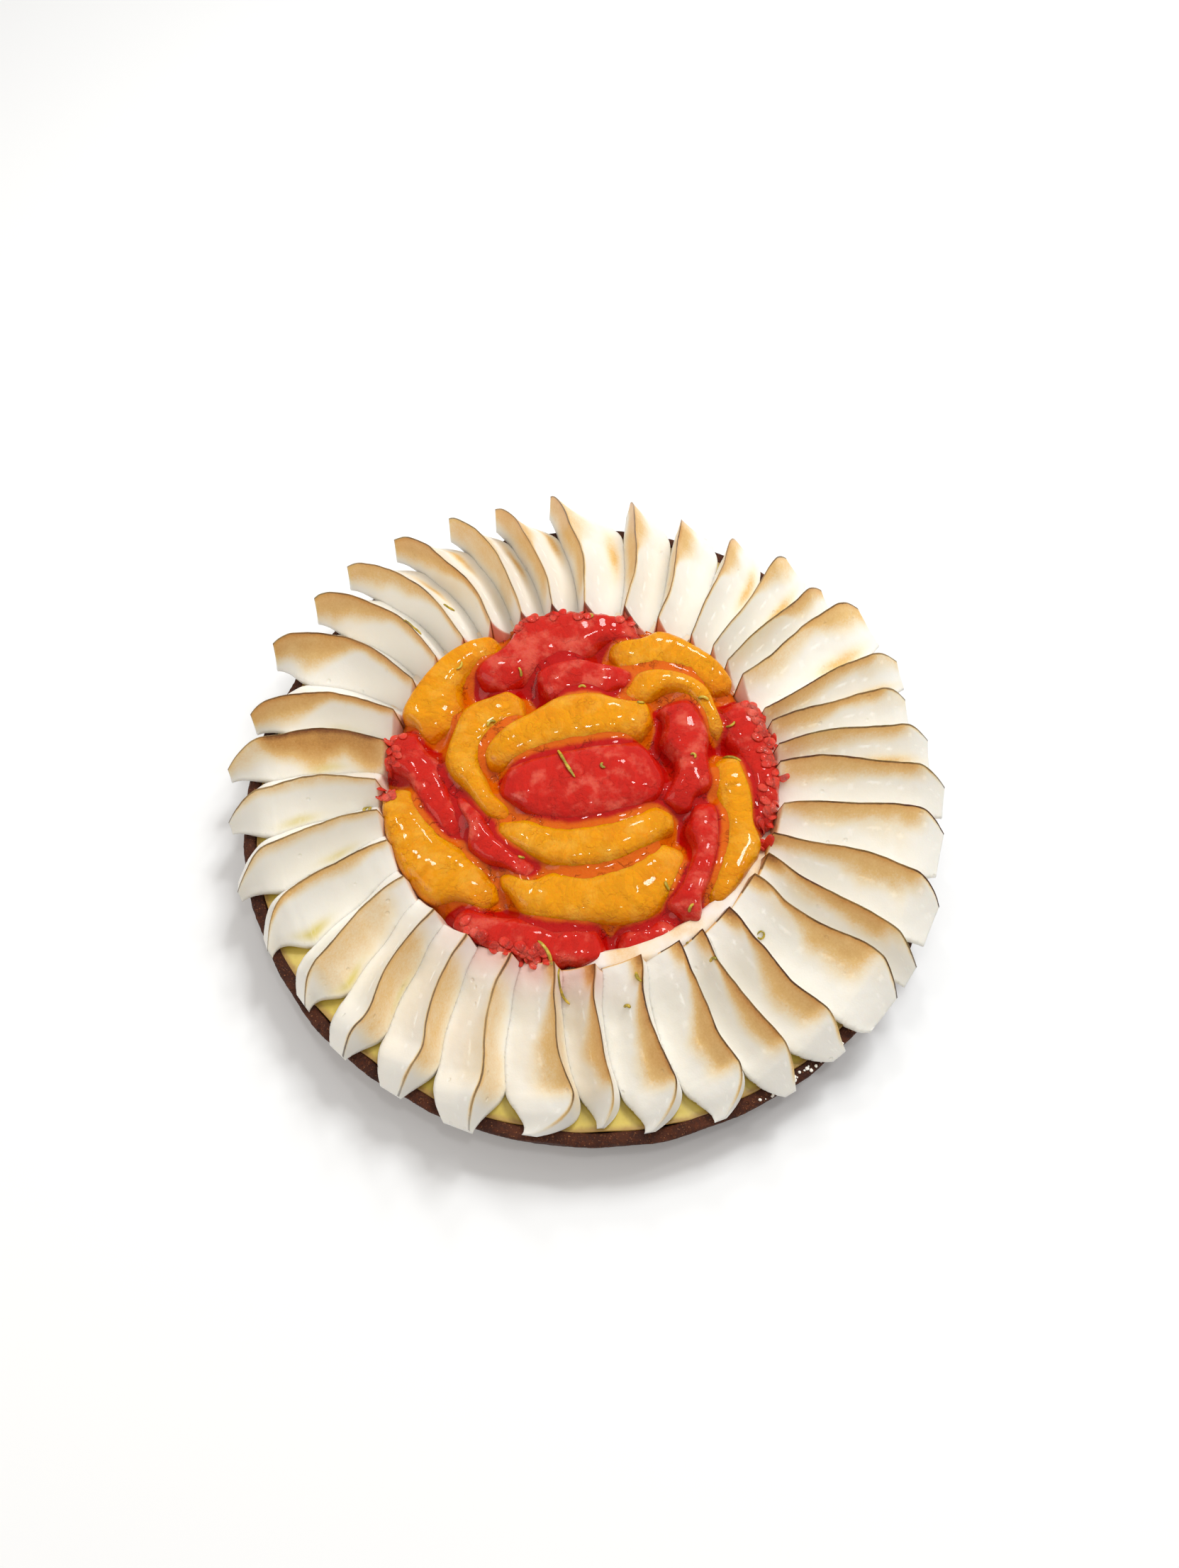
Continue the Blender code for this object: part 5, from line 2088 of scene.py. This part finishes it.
@dataclass(frozen=True)
class CrumbField:
    """Crumbs of one kind on the rim: how many, where they lie and how large they are.

    They lie round a centre angle, over a range of radii.
    """

    name: str
    slot: str
    seed: int
    count: int
    centre: float
    spread: float
    radii: tuple[float, float]
    sizes: tuple[float, float]

    def build(self, material: Material) -> None:
        """Scatters small uneven balls and joins them.

        Args:
            material: The crumbs' finish.
        """
        draw = random.Random(self.seed)
        noise = SmoothNoise(self.seed)
        made = []
        for number in range(self.count):
            angle = self.centre + draw.gauss(0.0, self.spread)
            radius = draw.uniform(*self.radii)
            size = draw.uniform(*self.sizes) * draw.uniform(0.6, 1.0)
            x, y = polar(radius, angle)
            bpy.ops.mesh.primitive_ico_sphere_add(subdivisions=2, radius=1.0)
            obj = bpy.context.active_object
            ball = read_points(obj)
            ball *= (1.0 + 0.35 * noise.at(ball + 7.0 * number, 0.8))[:, None]
            ball *= 0.5 * size * np.array([1.0, draw.uniform(0.6, 1.0), draw.uniform(0.45, 0.75)])
            turned = Matrix.Rotation(draw.uniform(0.0, math.pi), 3, "Z")
            ball = ball @ np.array(turned) + (x, y, CASE_HEIGHT - 0.25 + 0.2 * size)
            write_points(obj, ball * MM)
            made.append(obj)
        joined = join_pieces(made, self.name)
        bpy.ops.object.shade_smooth()
        attach(joined, material)


CHIPS = CrumbField(
    name="meringue_chips",
    slot="meringue",
    seed=Seed.CHIPS,
    count=26,
    centre=304.0,
    spread=5.0,
    radii=(117.6, 119.4),
    sizes=(0.5, 1.7),
)
GRIT = CrumbField(
    name="crust_crumbs",
    slot="baked_crust",
    seed=Seed.GRIT,
    count=70,
    centre=275.0,
    spread=60.0,
    radii=(116.6, 119.4),
    sizes=(0.35, 0.9),
)


@dataclass(frozen=True)
class SoftLight:
    """One area light: its place, width, power and colour, and whether wet things mirror it."""

    name: str
    place: tuple[float, float, float]
    width: float
    power: float
    colour: tuple[float, float, float] = (1.0, 1.0, 1.0)
    mirrored: bool = True

    def build(self, aim: Vector) -> None:
        """Adds the light, turned to the aim.

        Args:
            aim: The point that it faces.
        """
        data = bpy.data.lights.new(self.name, "AREA")
        data.shape = "DISK"
        data.size = self.width
        data.energy = self.power
        data.color = self.colour
        obj = bpy.data.objects.new(self.name, data)
        bpy.context.scene.collection.objects.link(obj)
        obj.location = self.place
        obj.rotation_euler = (aim - Vector(self.place)).to_track_quat("-Z", "Y").to_euler()
        obj.visible_glossy = self.mirrored


@dataclass(frozen=True)
class Studio:
    """The pale floor, the soft lights and the camera at the photograph's angle."""

    focal_pixels: float = 1700.0
    long_side_pixels: float = 2212.0
    film: float = 36.0
    elevation: float = 62.03
    distance: float = 425.99
    aim: tuple[float, float, float] = (0.43, 5.18, CASE_HEIGHT)
    sky: Colour = (1.0, 0.985, 0.96, 1.0)
    sky_strength: float = 0.53
    floor: Colour = (0.94, 0.94, 0.94, 1.0)
    floor_roughness: float = 0.6
    floor_radius: float = 3.0
    floor_level: float = -0.0002
    lights: tuple[SoftLight, ...] = (
        SoftLight("key", (0.34, 0.40, 0.85), 0.34, 4.2, (0.96, 0.99, 1.0), mirrored=False),
        SoftLight("fill", (-0.7, -0.25, 0.65), 0.5, 1.2, (1.0, 0.93, 0.84)),
        SoftLight("glint", (0.10, -0.16, 0.93), 0.06, 0.45),
        SoftLight("glint_left", (-0.26, 0.34, 0.86), 0.07, 0.35),
        SoftLight("glint_back", (0.14, 0.60, 0.70), 0.11, 0.70),
        SoftLight("glint_middle", (0.22, 0.30, 0.92), 0.11, 0.90),
        SoftLight("glint_right", (0.50, 0.18, 0.80), 0.09, 0.60),
    )

    def build(self) -> None:
        """Adds everything round the tart."""
        aim = Vector(self.aim) * MM
        self.build_floor()
        for light in self.lights:
            light.build(aim)
        world = bpy.data.worlds.new("studio")
        world.use_nodes = True
        background = world.node_tree.nodes["Background"].inputs
        background["Color"].default_value = self.sky
        background["Strength"].default_value = self.sky_strength
        bpy.context.scene.world = world
        bpy.context.scene.view_settings.view_transform = "Standard"
        self.build_camera(aim)

    def build_camera(self, aim: Vector) -> None:
        """Adds the camera, in front of the tart and turned to the aim.

        Args:
            aim: The point that it faces.
        """
        data = bpy.data.cameras.new("camera")
        data.sensor_width = self.film
        data.lens = self.focal_pixels / self.long_side_pixels * self.film
        camera = bpy.data.objects.new("camera", data)
        bpy.context.scene.collection.objects.link(camera)
        rise = math.radians(self.elevation)
        back = Vector((0.0, -math.cos(rise), math.sin(rise)))
        camera.location = aim + back * self.distance * MM
        camera.rotation_euler = (-back).to_track_quat("-Z", "Y").to_euler()
        bpy.context.scene.camera = camera

    def build_floor(self) -> None:
        """Adds a pale floor that the tart stands on."""
        bpy.ops.mesh.primitive_circle_add(
            vertices=96, radius=self.floor_radius, fill_type="NGON", location=(0.0, 0.0, self.floor_level)
        )
        floor = bpy.context.active_object
        floor.name = "floor"
        bpy.ops.object.transform_apply(location=True, rotation=True, scale=True)
        material = bpy.data.materials.new("pale_floor")
        material.use_nodes = True
        shader = material.node_tree.nodes["Principled BSDF"].inputs
        shader["Base Color"].default_value = self.floor
        shader["Roughness"].default_value = self.floor_roughness
        floor.data.materials.append(material)


def main() -> None:
    """Builds the tart's looks in order, and the studio round them."""
    logging.basicConfig(level=logging.INFO, format="%(name)s: %(message)s")
    draw = random.Random(Seed.SHARED)
    effects = Effects()
    meringue = MeringueFinish().build(effects)
    flesh = {
        Citrus.ORANGE: ORANGE_FLESH.build(effects),
        Citrus.GRAPEFRUIT: GRAPEFRUIT_FLESH.build(effects),
    }
    case = Case(draw)
    case.build(CrustFinish().build(effects))
    Curd(case).build(CurdFinish().build(effects))
    petals = PetalRing(draw).build(meringue)
    MeringueBed().build(meringue)
    fruit = Rosette().build(flesh)
    GlazePool(fruit).build(GlazeFinish().build(effects))
    ground, _ = surface_tree([*fruit.values(), *petals])
    LooseSacs(random.Random(Seed.SAC_PLACES)).build(ground, TORN_FLESH.build(effects))
    zest = Strands("zest_curls", ground, 5.0).build(CURLS)
    attach(zest, ZEST.build(effects))
    CHIPS.build(DRY_MERINGUE.build(effects))
    GRIT.build(LOOSE_CRUMB.build(effects))
    Studio().build()


if __name__ == "__main__":
    main()
